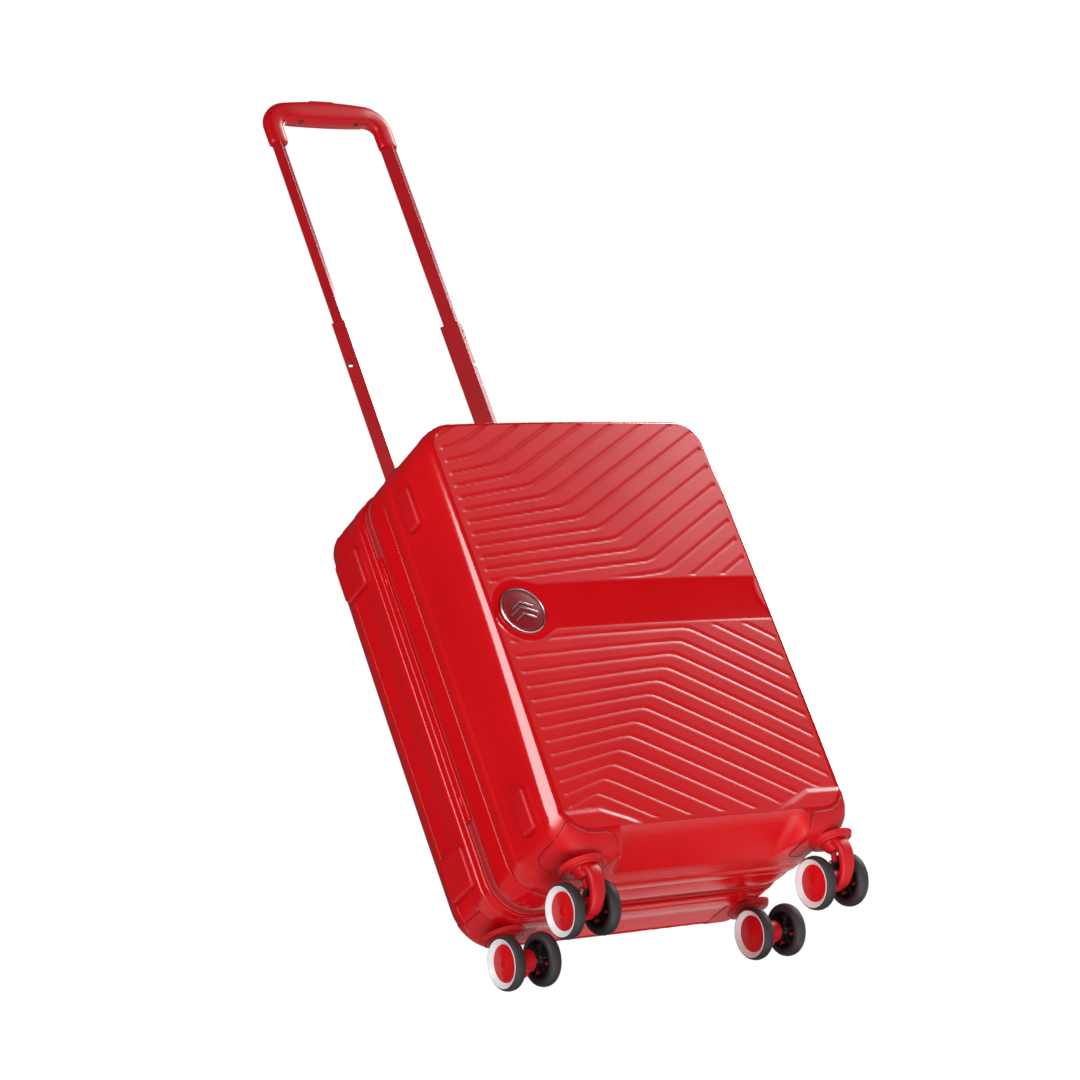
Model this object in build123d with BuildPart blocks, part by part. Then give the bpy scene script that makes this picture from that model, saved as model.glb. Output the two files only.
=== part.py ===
"""Hard shell cabin suitcase on four double spinner wheels, with a two-stage trolley handle.

Front is -Y, up is +Z, the floor is z = 0, the case is centred on x = 0 and y = 0.
Sizes are millimetres.  Each sub-part is built where it sits with the trolley drawn out.
"""
from build123d import *
import os

os.makedirs("parts", exist_ok=True)

# ---- overall sizes of the case ------------------------------------------------------------
CASE_W = 362.0          # width of the shells, x
CASE_D = 234.8          # depth of the shells, y
SHELL_BOTTOM = 64.0     # height of the underside above the floor
SHELL_TOP = 548.0       # height of the top face
CORNER_R = 42.0         # rounding of the outline seen from the front
EDGE_R = 26.0           # rounding from the outline to the front and back faces
WALL = 2.4              # wall of the moulded shells

# ---- where one ring ends and the next begins, as y ------------------------------------------
SHELL_END_Y = -16.0     # back end of the front shell
BAND_GAP = 0.8          # shadow gap between the front shell and the zip band
TAPE_Y0 = 14.0          # front edge of the zip tape
TAPE_Y1 = 26.0          # back edge of the zip tape, front edge of the back rim
RIM_Y1 = 36.0           # back edge of the back rim
BAND_INSET = 1.0        # how far the zip band lies inside the outline
BAND_T = 3.0            # thickness of the band and of the rim
TAPE_INSET = 2.0        # how far the tape lies inside the outline
TAPE_T = 1.5            # thickness of the tape

# ---- clearances ---------------------------------------------------------------------------
MOVE_GAP = 0.3          # between solids of two bodies
SLIDE_GAP = 0.35        # between the telescoping tubes
RUN_FIT = 0.05          # radial, on pins and axles
SEAM = 0.25             # seam between a shell and the wheel housing let into it

# ---- casters --------------------------------------------------------------------------------
WHEEL_R = 27.2          # radius of the tread
WHEEL_W = 13.5          # width of one wheel
WHEEL_PITCH = 41.3      # middle to middle of the two wheels of a pair
CASTER_X = 152.5        # swivel axis from the middle of the case
FRONT_PIVOT_IN = 26.4   # front face of the case to the swivel axis of the front pairs
REAR_PIVOT_IN = 51.4    # back face of the case to the swivel axis of the rear pairs
TRAIL = 20.0            # swivel axis to wheel axle
TYRE_IN_R = 20.0        # inside radius of the tyre
CAP_R = 24.5            # radius of the silver rim of the cap
CAP_T = 3.0             # thickness of the cap
DISC_R = 18.8           # radius of the sunk disc in the cap
AXLE_R = 3.0            # radius of the wheel axle
PIVOT_R = 5.0           # radius of the swivel pin
FLANGE_R = 19.5         # radius of the round head of the fork
FLANGE_T = 5.0          # thickness of the round head
ARM_W = 15.0            # width of the fork arm, along the axle
BOSS_R = 10.8           # radius of the fork boss round the axle

# ---- wheel housings -------------------------------------------------------------------------
HOUSING_IN_X = 117.0    # inner side of the housing
HOUSING_TOP = 90.0      # top of the housing
HOUSING_DEPTH = 62.0    # how far it reaches in from the face of the case
REAR_HOUSING_DEPTH = 78.0
HOUSING_WALL = 4.0

# ---- hinge on the left side -----------------------------------------------------------------
HINGE_Y = 20.0          # hinge axis
STRIP_W = 9.4           # width of the hinge strip
STRIP_T = 3.7           # thickness of the hinge strip
STRIP_Z0 = 168.0        # lower end of the strip
STRIP_Z1 = 466.0        # upper end of the strip
HINGE_PIN_R = 0.8       # radius of the hinge pin
KNUCKLE_R = 1.7         # radius of the front half's knuckles
KNUCKLE_L = 14.0        # length of a knuckle

# ---- side feet ------------------------------------------------------------------------------
FOOT_PROUD = 6.0        # how far the feet stand off the side
FOOT_H = 46.0           # height of a foot
FOOT_TOP_Z = 477.0      # middle of the upper feet
FOOT_LOW_Z = 132.0      # middle of the lower feet
FRONT_FOOT_Y = -64.0    # middle of the front feet
FRONT_FOOT_W = 24.0
BACK_FOOT_Y = 68.0      # middle of the back feet
BACK_FOOT_W = 38.0

# ---- badge ----------------------------------------------------------------------------------
BADGE_X = -133.8
BADGE_Z = 326.9
BADGE_R = 25.4
BADGE_T = 1.2

# ---- trolley --------------------------------------------------------------------------------
TUBE_X = 72.0           # tube axis from the middle of the case
TUBE_FROM_BACK = 20.9   # back face of the case to the outer edge of the tube section
TUBE_OUT = 13.4         # tube axis to the outer edge
TUBE_IN = 14.4          # tube axis to the inner edge
TUBE_RIDGE_X = 1.5      # tube axis to the front ridge, outwards
TUBE_RIDGE = 8.3        # outer edge to the front ridge, forwards
TUBE_BACK = 6.2         # outer edge to the flat back, backwards
TUBE_BACK_X = 5.0       # tube axis to where the flat back ends, outwards
TUBE_ROUND = 0.8        # rounding of the section's edges
TUBE_WALL = 1.3         # wall of each tube
OUTER_Z0 = 90.0         # lower end of the fixed tubes
MIDDLE_Z0 = 400.0       # lower end of the middle tubes, drawn out
MIDDLE_Z1 = 804.5       # upper end of the middle tubes, drawn out
UPPER_Z0 = 700.0        # lower end of the upper tubes, drawn out
GRIP_Z0 = 1046.0        # underside of the grip's legs
GRIP_TOP = 1104.0       # top of the grip
GRIP_HALF_W = 83.8      # half the width of the grip
GRIP_BACK = 0.5         # middle of the grip, behind the outer edge of the tubes
GRIP_DEPTH = 20.0       # depth of the grip, y
GRIP_BAR_H = 27.0       # height of the grip's bar
LEG_W = 23.6            # width of a leg of the grip
GRIP_ROUND = 5.0        # rounding of the grip
TUBE_IN_GRIP = 14.0     # length of tube held in the grip's leg
BUTTON_L = 34.0         # length of the release button
BUTTON_W = 11.0         # width of the release button
BUTTON_UP = 1.5         # how far the button stands above the grip
BUTTON_DEEP = 9.0       # depth of the button's pocket
BEZEL_T = 3.0           # how far the collar the tubes come through stands above the top
BEZEL_DEEP = 16.0       # how far that collar reaches down into the shell

# ---- carry handles, zip sliders and lock ------------------------------------------------------
HANDLE_L = 150.0        # length of a carry handle
HANDLE_W = 22.0         # width of a carry handle
HANDLE_T = 4.5          # thickness of a carry handle
HANDLE_LIFT = 1.5       # gap below a carry handle at rest
POST_W = 8.0            # side of the square post of a handle
POST_L = 24.0           # length of a post
TOP_HANDLE_Y = 62.0
SIDE_HANDLE_Y = 76.0
SIDE_HANDLE_Z = 300.0
SLIDER_L = 14.0         # length of a zip slider
SLIDER_W = 9.0          # width of a zip slider
SLIDER_T = 3.6          # height of a zip slider over the tape
SLIDER_Z = 428.0        # where the two sliders meet
TAB_L = 22.0            # length of a pull tab
LOCK_Y = 51.0
LOCK_Z = 435.0
LOCK_W = 22.0
LOCK_L = 62.0
LOCK_T = 7.0
DIAL_R = 5.5
DIAL_T = 5.0
DIAL_PITCH = 11.0

HALF_W = CASE_W / 2
FRONT_Y = -CASE_D / 2
BACK_Y = CASE_D / 2
FRONT_PIVOT_Y = FRONT_Y + FRONT_PIVOT_IN
REAR_PIVOT_Y = BACK_Y - REAR_PIVOT_IN
TUBE_Y = BACK_Y - TUBE_FROM_BACK
GRIP_Y = TUBE_Y + GRIP_BACK
SHELL_H = SHELL_TOP - SHELL_BOTTOM
MID_Z = (SHELL_TOP + SHELL_BOTTOM) / 2
HINGE_X = -(HALF_W - TAPE_INSET + MOVE_GAP + STRIP_T / 2)
BEZEL_X = TUBE_X + 22
BEZEL_Y0 = TUBE_Y - TUBE_RIDGE - 3
BEZEL_Y1 = BACK_Y - 4
BEZEL_Z0 = SHELL_TOP - BEZEL_DEEP
LEFT_TO_RIGHT = (-1, 1)


def save(part, name):
    """Label one sub-part and write it to its own file."""
    part.label = name
    export_step(part, "parts/" + name + ".step")


def face_plane(y):
    """Plane across the case at the given y, its normal pointing back."""
    return Plane(origin=(0, y, MID_Z), x_dir=(-1, 0, 0), z_dir=(0, 1, 0))


def outline(inset):
    """Rounded outline of the case seen from the front, drawn inside by inset."""
    RectangleRounded(CASE_W - 2 * inset, SHELL_H - 2 * inset, CORNER_R - inset)


def slab(y0, y1, inset, mode=Mode.ADD):
    """Block with the case's outline between two y values."""
    with BuildSketch(face_plane(y0)) as shape:
        outline(inset)
    extrude(shape.sketch, amount=y1 - y0, mode=mode)


def block(x0, x1, y0, y1, z0, z1, mode=Mode.ADD):
    """Box between two corners."""
    with Locations(((x0 + x1) / 2, (y0 + y1) / 2, (z0 + z1) / 2)):
        Box(x1 - x0, y1 - y0, z1 - z0, mode=mode)


def x_rod(radius, x0, x1, y, z, mode=Mode.ADD):
    """Cylinder along x between two x values."""
    with Locations(((x0 + x1) / 2, y, z)):
        Cylinder(radius, x1 - x0, rotation=(0, 90, 0), mode=mode)


def z_rod(radius, x, y, z0, z1, mode=Mode.ADD):
    """Cylinder along z between two heights."""
    with Locations((x, y, (z0 + z1) / 2)):
        Cylinder(radius, z1 - z0, mode=mode)


def tube_section(side, grow):
    """Four-cornered tube section: flat back, ridge to the front, sharp edges inside and outside."""
    with BuildLine() as edge:
        Polyline(
            (side * (TUBE_X + TUBE_OUT), TUBE_Y),
            (side * (TUBE_X + TUBE_RIDGE_X), TUBE_Y - TUBE_RIDGE),
            (side * (TUBE_X - TUBE_IN), TUBE_Y + TUBE_BACK),
            (side * (TUBE_X + TUBE_BACK_X), TUBE_Y + TUBE_BACK),
            close=True,
        )
    make_face(edge.line.edges())
    offset(amount=-TUBE_ROUND + min(grow, 0), kind=Kind.INTERSECTION, mode=Mode.REPLACE)
    offset(amount=TUBE_ROUND + max(grow, 0), kind=Kind.ARC, mode=Mode.REPLACE)


def tube(side, grow, z0, z1, mode=Mode.ADD):
    """Solid bar of the tube section between two heights."""
    with BuildSketch(Plane.XY.offset(z0)) as shape:
        tube_section(side, grow)
    extrude(shape.sketch, amount=z1 - z0, mode=mode)


def housing_box(side, rear, grow, mode=Mode.ADD):
    """Corner block that holds one wheel housing, grown on its inner sides."""
    x0 = HOUSING_IN_X - grow
    x1 = HALF_W + 20
    if rear:
        y0, y1 = BACK_Y - REAR_HOUSING_DEPTH - grow, BACK_Y + 20
    else:
        y0, y1 = FRONT_Y - 20, FRONT_Y + HOUSING_DEPTH + grow
    if side < 0:
        x0, x1 = -x1, -x0
    block(x0, x1, y0, y1, SHELL_BOTTOM - 20, HOUSING_TOP + grow, mode)


def half_block(rear):
    """Outer block of one shell half with its face edges rounded."""
    if rear:
        slab(RIM_Y1, BACK_Y, 0)
        face = faces().sort_by(Axis.Y)[-1]
    else:
        slab(FRONT_Y, SHELL_END_Y, 0)
        face = faces().sort_by(Axis.Y)[0]
    fillet(face.edges(), EDGE_R)


def half_core(rear):
    """Inside of one shell half, kept off the corners where the housings go."""
    with BuildPart() as core:
        if rear:
            slab(RIM_Y1 - 5, BACK_Y - WALL, WALL)
            face = faces().sort_by(Axis.Y)[-1]
        else:
            slab(FRONT_Y + WALL, SHELL_END_Y + 5, WALL)
            face = faces().sort_by(Axis.Y)[0]
        fillet(face.edges(), EDGE_R - WALL)
        for side in LEFT_TO_RIGHT:
            housing_box(side, rear, SEAM + WALL, Mode.SUBTRACT)
    add(core.part, mode=Mode.SUBTRACT)


# ---- front half -----------------------------------------------------------------------------
with BuildPart() as front_shell:
    half_block(False)
    half_core(False)
    for side in LEFT_TO_RIGHT:
        housing_box(side, False, SEAM, Mode.SUBTRACT)
    with Locations((BADGE_X, FRONT_Y + BADGE_T / 2, BADGE_Z)):
        Cylinder(BADGE_R + SEAM, BADGE_T, rotation=(90, 0, 0), mode=Mode.SUBTRACT)
save(front_shell.part, "front_shell")

with BuildPart() as front_band:
    slab(SHELL_END_Y + BAND_GAP, TAPE_Y0 - MOVE_GAP, BAND_INSET)
    slab(SHELL_END_Y - 6, SHELL_END_Y + BAND_GAP, WALL)
    slab(SHELL_END_Y - 7, TAPE_Y0, BAND_INSET + BAND_T, Mode.SUBTRACT)
save(front_band.part, "front_band")

with BuildPart() as badge:
    with Locations((BADGE_X, FRONT_Y + BADGE_T / 2, BADGE_Z)):
        Cylinder(BADGE_R, BADGE_T, rotation=(90, 0, 0))
save(badge.part, "badge")

with BuildPart() as front_housings:
    half_block(False)
    with BuildPart(mode=Mode.INTERSECT):
        for side in LEFT_TO_RIGHT:
            housing_box(side, False, 0)
    for side in LEFT_TO_RIGHT:
        x0 = side * (HOUSING_IN_X + HOUSING_WALL)
        x1 = side * (HALF_W - EDGE_R * 0.6)
        y0 = FRONT_Y + EDGE_R * 0.6
        y1 = FRONT_Y + HOUSING_DEPTH - HOUSING_WALL
        block(min(x0, x1), max(x0, x1), y0, y1, SHELL_BOTTOM + 10, HOUSING_TOP + 1, Mode.SUBTRACT)
        z_rod(PIVOT_R + 6, side * CASTER_X, FRONT_PIVOT_Y, SHELL_BOTTOM + 2, HOUSING_TOP)
        z_rod(PIVOT_R + RUN_FIT, side * CASTER_X, FRONT_PIVOT_Y, SHELL_BOTTOM - 5, HOUSING_TOP + 1, Mode.SUBTRACT)
save(front_housings.part, "front_housings")

with BuildPart() as front_feet:
    for z in (FOOT_TOP_Z, FOOT_LOW_Z):
        block(-HALF_W - FOOT_PROUD, -HALF_W, FRONT_FOOT_Y - FRONT_FOOT_W / 2,
              FRONT_FOOT_Y + FRONT_FOOT_W / 2, z - FOOT_H / 2, z + FOOT_H / 2)
    chamfer(faces().sort_by(Axis.X)[0:2].edges(), 2.5)
save(front_feet.part, "front_feet")

KNUCKLE_Z = (STRIP_Z0 + 24, STRIP_Z1 - 24)
with BuildPart() as hinge_knuckles:
    for z in KNUCKLE_Z:
        z0, z1 = z - KNUCKLE_L / 2, z + KNUCKLE_L / 2
        z_rod(KNUCKLE_R, HINGE_X, HINGE_Y, z0, z1)
        block(-(HALF_W - BAND_INSET) - 1.6, -(HALF_W - BAND_INSET), 2, HINGE_Y - 1, z0, z1)
        z_rod(HINGE_PIN_R + RUN_FIT, HINGE_X, HINGE_Y, z0 - 1, z1 + 1, Mode.SUBTRACT)
save(hinge_knuckles.part, "hinge_knuckles")

# ---- back half ------------------------------------------------------------------------------
with BuildPart() as back_shell:
    half_block(True)
    half_core(True)
    for side in LEFT_TO_RIGHT:
        housing_box(side, True, SEAM, Mode.SUBTRACT)
        with Locations((side * (HANDLE_L / 2 - 10), TOP_HANDLE_Y, SHELL_TOP)):
            Box(POST_W + 0.8, POST_W + 0.8, 20, mode=Mode.SUBTRACT)
        with Locations((HALF_W, SIDE_HANDLE_Y, SIDE_HANDLE_Z + side * (HANDLE_L / 2 - 10))):
            Box(20, POST_W + 0.8, POST_W + 0.8, mode=Mode.SUBTRACT)
    with Locations((HALF_W, LOCK_Y, LOCK_Z)):
        Box(20, LOCK_W, LOCK_L, mode=Mode.SUBTRACT)
    block(-BEZEL_X, BEZEL_X, BEZEL_Y0, BEZEL_Y1, BEZEL_Z0, SHELL_TOP + 1, Mode.SUBTRACT)
save(back_shell.part, "back_shell")

with BuildPart() as back_rim:
    slab(TAPE_Y1, RIM_Y1, 0)
    slab(TAPE_Y1 - 1, RIM_Y1 + 1, BAND_T, Mode.SUBTRACT)
save(back_rim.part, "back_rim")

with BuildPart() as zip_tape:
    slab(TAPE_Y0, TAPE_Y1, TAPE_INSET)
    slab(TAPE_Y0 - 1, TAPE_Y1 + 1, TAPE_INSET + TAPE_T, Mode.SUBTRACT)
save(zip_tape.part, "zip_tape")

with BuildPart() as hinge_strip:
    block(HINGE_X - STRIP_T / 2, HINGE_X + STRIP_T / 2, HINGE_Y - STRIP_W / 2,
          HINGE_Y + STRIP_W / 2, STRIP_Z0, STRIP_Z1)
    fillet(edges().filter_by(Axis.Z), 1.2)
    for z in KNUCKLE_Z:
        block(HINGE_X - STRIP_T, HINGE_X + STRIP_T, HINGE_Y - STRIP_W, HINGE_Y + STRIP_W,
              z - KNUCKLE_L / 2 - MOVE_GAP, z + KNUCKLE_L / 2 + MOVE_GAP, Mode.SUBTRACT)
    z_rod(HINGE_PIN_R, HINGE_X, HINGE_Y, STRIP_Z0 + 2, STRIP_Z1 - 2)
    block(HINGE_X + STRIP_T / 2 - 0.5, HINGE_X + STRIP_T / 2 + MOVE_GAP, HINGE_Y - 3, HINGE_Y + 3,
          MID_Z - 60, MID_Z + 60)
save(hinge_strip.part, "hinge_strip")

with BuildPart() as rear_housings:
    half_block(True)
    with BuildPart(mode=Mode.INTERSECT):
        for side in LEFT_TO_RIGHT:
            housing_box(side, True, 0)
    for side in LEFT_TO_RIGHT:
        x0 = side * (HOUSING_IN_X + HOUSING_WALL)
        x1 = side * (HALF_W - EDGE_R * 0.6)
        y0 = BACK_Y - REAR_HOUSING_DEPTH + HOUSING_WALL
        y1 = BACK_Y - EDGE_R * 0.6
        block(min(x0, x1), max(x0, x1), y0, y1, SHELL_BOTTOM + 10, HOUSING_TOP + 1, Mode.SUBTRACT)
        z_rod(PIVOT_R + 6, side * CASTER_X, REAR_PIVOT_Y, SHELL_BOTTOM + 2, HOUSING_TOP)
        z_rod(PIVOT_R + RUN_FIT, side * CASTER_X, REAR_PIVOT_Y, SHELL_BOTTOM - 5, HOUSING_TOP + 1, Mode.SUBTRACT)
save(rear_housings.part, "rear_housings")

with BuildPart() as back_feet:
    for z in (FOOT_TOP_Z, FOOT_LOW_Z):
        block(-HALF_W - FOOT_PROUD, -HALF_W, BACK_FOOT_Y - BACK_FOOT_W / 2,
              BACK_FOOT_Y + BACK_FOOT_W / 2, z - FOOT_H / 2, z + FOOT_H / 2)
    chamfer(faces().sort_by(Axis.X)[0:2].edges(), 2.5)
save(back_feet.part, "back_feet")

with BuildPart() as outer_tubes:
    for side in LEFT_TO_RIGHT:
        tube(side, SLIDE_GAP + TUBE_WALL, OUTER_Z0, BEZEL_Z0)
        tube(side, SLIDE_GAP, OUTER_Z0 - 1, BEZEL_Z0 + 1, Mode.SUBTRACT)
save(outer_tubes.part, "outer_tubes")

with BuildPart() as base_bracket:
    block(-TUBE_X - 18, TUBE_X + 18, TUBE_Y - TUBE_RIDGE - 3, TUBE_Y + TUBE_BACK + 3, OUTER_Z0 - 8, OUTER_Z0)
save(base_bracket.part, "base_bracket")

with BuildPart() as tube_bezel:
    block(-BEZEL_X, BEZEL_X, BEZEL_Y0, BEZEL_Y1, BEZEL_Z0, SHELL_TOP + BEZEL_T)
    fillet(edges().group_by(Axis.Z)[-1], 2)
    for side in LEFT_TO_RIGHT:
        tube(side, SLIDE_GAP, BEZEL_Z0 - 1, SHELL_TOP + BEZEL_T + 1, Mode.SUBTRACT)
save(tube_bezel.part, "tube_bezel")

with BuildPart() as lock_body:
    block(HALF_W - 4, HALF_W - 4 + LOCK_T, LOCK_Y - LOCK_W / 2, LOCK_Y + LOCK_W / 2,
          LOCK_Z - LOCK_L / 2, LOCK_Z + LOCK_L / 2)
    fillet(edges().filter_by(Axis.X), 3)
    for i in (-1, 0, 1):
        with Locations((HALF_W + LOCK_T - 4, LOCK_Y + 4, LOCK_Z + i * DIAL_PITCH)):
            Box(8, 8, DIAL_T + 0.4, mode=Mode.SUBTRACT)
save(lock_body.part, "lock_body")

with BuildPart() as lock_dials:
    for i in (-1, 0, 1):
        with Locations((HALF_W - 4 + LOCK_T - 1.6, LOCK_Y + 4, LOCK_Z + i * DIAL_PITCH)):
            Box(4.8, 7.4, DIAL_T)
    fillet(edges().filter_by(Axis.Z), 2)
save(lock_dials.part, "lock_dials")

# ---- casters ----------------------------------------------------------------------------------
CASTERS = (
    ("front_left", -1, FRONT_PIVOT_Y, 1),
    ("front_right", 1, FRONT_PIVOT_Y, 1),
    ("rear_left", -1, REAR_PIVOT_Y, -1),
    ("rear_right", 1, REAR_PIVOT_Y, -1),
)
FLANGE_Z1 = SHELL_BOTTOM - MOVE_GAP
FLANGE_Z0 = FLANGE_Z1 - FLANGE_T
AXLE_HALF = WHEEL_PITCH / 2 + WHEEL_W / 2 - CAP_T - MOVE_GAP
ARM_PROFILE = (
    (-17.5, FLANGE_Z0 + 1),
    (-16.5, FLANGE_Z0 - 14),
    (-8.0, WHEEL_R + 0.0),
    (6.0, WHEEL_R - BOSS_R + 1.5),
    (TRAIL, WHEEL_R - BOSS_R + 0.3),
    (TRAIL, WHEEL_R + BOSS_R - 0.3),
    (TRAIL - 9.0, WHEEL_R + BOSS_R - 1.0),
    (3.0, FLANGE_Z0 - 9),
    (0.0, FLANGE_Z0 + 1),
)
for name, side, pivot_y, way in CASTERS:
    pivot_x = side * CASTER_X
    axle_y = pivot_y + way * TRAIL
    with BuildPart() as fork:
        z_rod(FLANGE_R, pivot_x, pivot_y, FLANGE_Z0, FLANGE_Z1)
        z_rod(PIVOT_R, pivot_x, pivot_y, FLANGE_Z1, HOUSING_TOP - 2)
        with BuildSketch(Plane.YZ.offset(pivot_x - ARM_W / 2)):
            with BuildLine():
                Polyline([(pivot_y + way * y, z) for y, z in ARM_PROFILE], close=True)
            make_face()
        extrude(amount=ARM_W)
        x_rod(BOSS_R, pivot_x - ARM_W / 2, pivot_x + ARM_W / 2, axle_y, WHEEL_R)
        x_rod(AXLE_R, pivot_x - ARM_W, pivot_x + ARM_W, axle_y, WHEEL_R, Mode.SUBTRACT)
    save(fork.part, "fork_" + name)
    with BuildPart() as axle:
        x_rod(AXLE_R, pivot_x - AXLE_HALF, pivot_x + AXLE_HALF, axle_y, WHEEL_R)
        for way_x in LEFT_TO_RIGHT:
            x0 = pivot_x + way_x * ARM_W / 2
            x1 = pivot_x + way_x * (WHEEL_PITCH / 2 - WHEEL_W / 2 - MOVE_GAP)
            x_rod(AXLE_R + 2.5, min(x0, x1), max(x0, x1), axle_y, WHEEL_R)
    save(axle.part, "axle_" + name)
    for pair_name, way_x in (("a", -1), ("b", 1)):
        wheel_x = pivot_x + way_x * WHEEL_PITCH / 2
        outer_x = wheel_x + way_x * WHEEL_W / 2
        inner_x = wheel_x - way_x * WHEEL_W / 2
        seat_x = outer_x - way_x * CAP_T
        with BuildPart() as tyre:
            x_rod(WHEEL_R, wheel_x - WHEEL_W / 2, wheel_x + WHEEL_W / 2, axle_y, WHEEL_R)
            fillet(edges(), 3.0)
            x_rod(TYRE_IN_R, wheel_x - WHEEL_W, wheel_x + WHEEL_W, axle_y, WHEEL_R, Mode.SUBTRACT)
            cut_x = outer_x + way_x
            x_rod(CAP_R, min(seat_x, cut_x), max(seat_x, cut_x), axle_y, WHEEL_R, Mode.SUBTRACT)
        save(tyre.part, "tyre_" + name + "_" + pair_name)
        with BuildPart() as hub:
            x_rod(TYRE_IN_R, min(inner_x, seat_x), max(inner_x, seat_x), axle_y, WHEEL_R)
            x_rod(AXLE_R + RUN_FIT, wheel_x - WHEEL_W, wheel_x + WHEEL_W, axle_y, WHEEL_R, Mode.SUBTRACT)
        save(hub.part, "hub_" + name + "_" + pair_name)
        with BuildPart() as cap:
            with BuildSketch(Plane.XY):
                with BuildLine():
                    Polyline(
                        (seat_x, 0),
                        (seat_x, CAP_R),
                        (outer_x, CAP_R),
                        (outer_x - way_x * 1.4, DISC_R),
                        (outer_x - way_x * 1.4, 0),
                        close=True,
                    )
                make_face()
            revolve(axis=Axis.X)
        part = Pos(0, axle_y, WHEEL_R) * cap.part
        save(part, "cap_" + name + "_" + pair_name)

# ---- trolley ------------------------------------------------------------------------------------
with BuildPart() as middle_tubes:
    for side in LEFT_TO_RIGHT:
        tube(side, 0, MIDDLE_Z0, MIDDLE_Z1)
        tube(side, -TUBE_WALL, MIDDLE_Z0 - 1, MIDDLE_Z1 + 1, Mode.SUBTRACT)
save(middle_tubes.part, "middle_tubes")

with BuildPart() as upper_tubes:
    for side in LEFT_TO_RIGHT:
        tube(side, -TUBE_WALL - SLIDE_GAP, UPPER_Z0, GRIP_Z0 + TUBE_IN_GRIP)
        tube(side, -TUBE_WALL * 2 - SLIDE_GAP, UPPER_Z0 - 1, GRIP_Z0 + TUBE_IN_GRIP + 1, Mode.SUBTRACT)
save(upper_tubes.part, "upper_tubes")

GRIP_MID_Z = (GRIP_Z0 + GRIP_TOP) / 2
with BuildPart() as grip:
    with BuildSketch(Plane(origin=(0, GRIP_Y - GRIP_DEPTH / 2, GRIP_MID_Z), x_dir=(-1, 0, 0), z_dir=(0, 1, 0))):
        Rectangle(GRIP_HALF_W * 2, GRIP_TOP - GRIP_Z0)
        fillet(vertices().group_by(Axis.Z)[-1], 24)
        with Locations((0, -GRIP_BAR_H / 2 - 5)):
            Rectangle((GRIP_HALF_W - LEG_W) * 2, GRIP_TOP - GRIP_Z0 - GRIP_BAR_H + 10, mode=Mode.SUBTRACT)
    extrude(amount=GRIP_DEPTH)
    fillet(edges().filter_by(Axis.Y, reverse=True).filter_by(lambda e: e.center().Z > GRIP_Z0 + 1), GRIP_ROUND)
    for side in LEFT_TO_RIGHT:
        tube(side, -TUBE_WALL - SLIDE_GAP, GRIP_Z0 - 5, GRIP_Z0 + TUBE_IN_GRIP, Mode.SUBTRACT)
    block(-BUTTON_L / 2 - MOVE_GAP, BUTTON_L / 2 + MOVE_GAP, GRIP_Y - BUTTON_W / 2 - MOVE_GAP,
          GRIP_Y + BUTTON_W / 2 + MOVE_GAP, GRIP_TOP - BUTTON_DEEP, GRIP_TOP + 5, Mode.SUBTRACT)
save(grip.part, "grip")

with BuildPart() as grip_screws:
    for side in LEFT_TO_RIGHT:
        z_rod(2.6, side * (GRIP_HALF_W - LEG_W - 14), GRIP_Y, GRIP_TOP - GRIP_BAR_H - 0.8, GRIP_TOP - GRIP_BAR_H)
save(grip_screws.part, "grip_screws")

with BuildPart() as grip_button:
    block(-BUTTON_L / 2, BUTTON_L / 2, GRIP_Y - BUTTON_W / 2, GRIP_Y + BUTTON_W / 2,
          GRIP_TOP - BUTTON_DEEP + 4, GRIP_TOP + BUTTON_UP)
    fillet(edges().filter_by(Axis.Z), 3)
save(grip_button.part, "grip_button")

# ---- carry handles --------------------------------------------------------------------------------
with BuildPart() as top_handle:
    z0 = SHELL_TOP + HANDLE_LIFT
    block(-HANDLE_L / 2, HANDLE_L / 2, TOP_HANDLE_Y - HANDLE_W / 2, TOP_HANDLE_Y + HANDLE_W / 2, z0, z0 + HANDLE_T)
    fillet(edges().filter_by(Axis.Z), 8)
    for side in LEFT_TO_RIGHT:
        x = side * (HANDLE_L / 2 - 10)
        block(x - POST_W / 2, x + POST_W / 2, TOP_HANDLE_Y - POST_W / 2, TOP_HANDLE_Y + POST_W / 2, z0 - POST_L, z0)
save(top_handle.part, "top_handle")

with BuildPart() as side_handle:
    x0 = HALF_W + HANDLE_LIFT
    block(x0, x0 + HANDLE_T, SIDE_HANDLE_Y - HANDLE_W / 2, SIDE_HANDLE_Y + HANDLE_W / 2,
          SIDE_HANDLE_Z - HANDLE_L / 2, SIDE_HANDLE_Z + HANDLE_L / 2)
    fillet(edges().filter_by(Axis.X), 8)
    for side in LEFT_TO_RIGHT:
        z = SIDE_HANDLE_Z + side * (HANDLE_L / 2 - 10)
        block(x0 - POST_L, x0, SIDE_HANDLE_Y - POST_W / 2, SIDE_HANDLE_Y + POST_W / 2, z - POST_W / 2, z + POST_W / 2)
save(side_handle.part, "side_handle")

# ---- zip sliders ------------------------------------------------------------------------------------
TAPE_FACE_X = HALF_W - TAPE_INSET
for name, way in (("upper", 1), ("lower", -1)):
    z0 = SLIDER_Z + way * 0.4
    z1 = z0 + way * SLIDER_L
    t1 = z1 + way * TAB_L
    x0 = TAPE_FACE_X + MOVE_GAP
    with BuildPart() as slider:
        block(x0, x0 + SLIDER_T, HINGE_Y - SLIDER_W / 2, HINGE_Y + SLIDER_W / 2, min(z0, z1), max(z0, z1))
        fillet(edges().filter_by(Axis.X), 2)
        block(x0 + SLIDER_T, x0 + SLIDER_T + 1.6, HINGE_Y - 3, HINGE_Y + 3, min(z0 + way * 3, t1), max(z0 + way * 3, t1))
    save(slider.part, "zip_slider_" + name)
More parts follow.
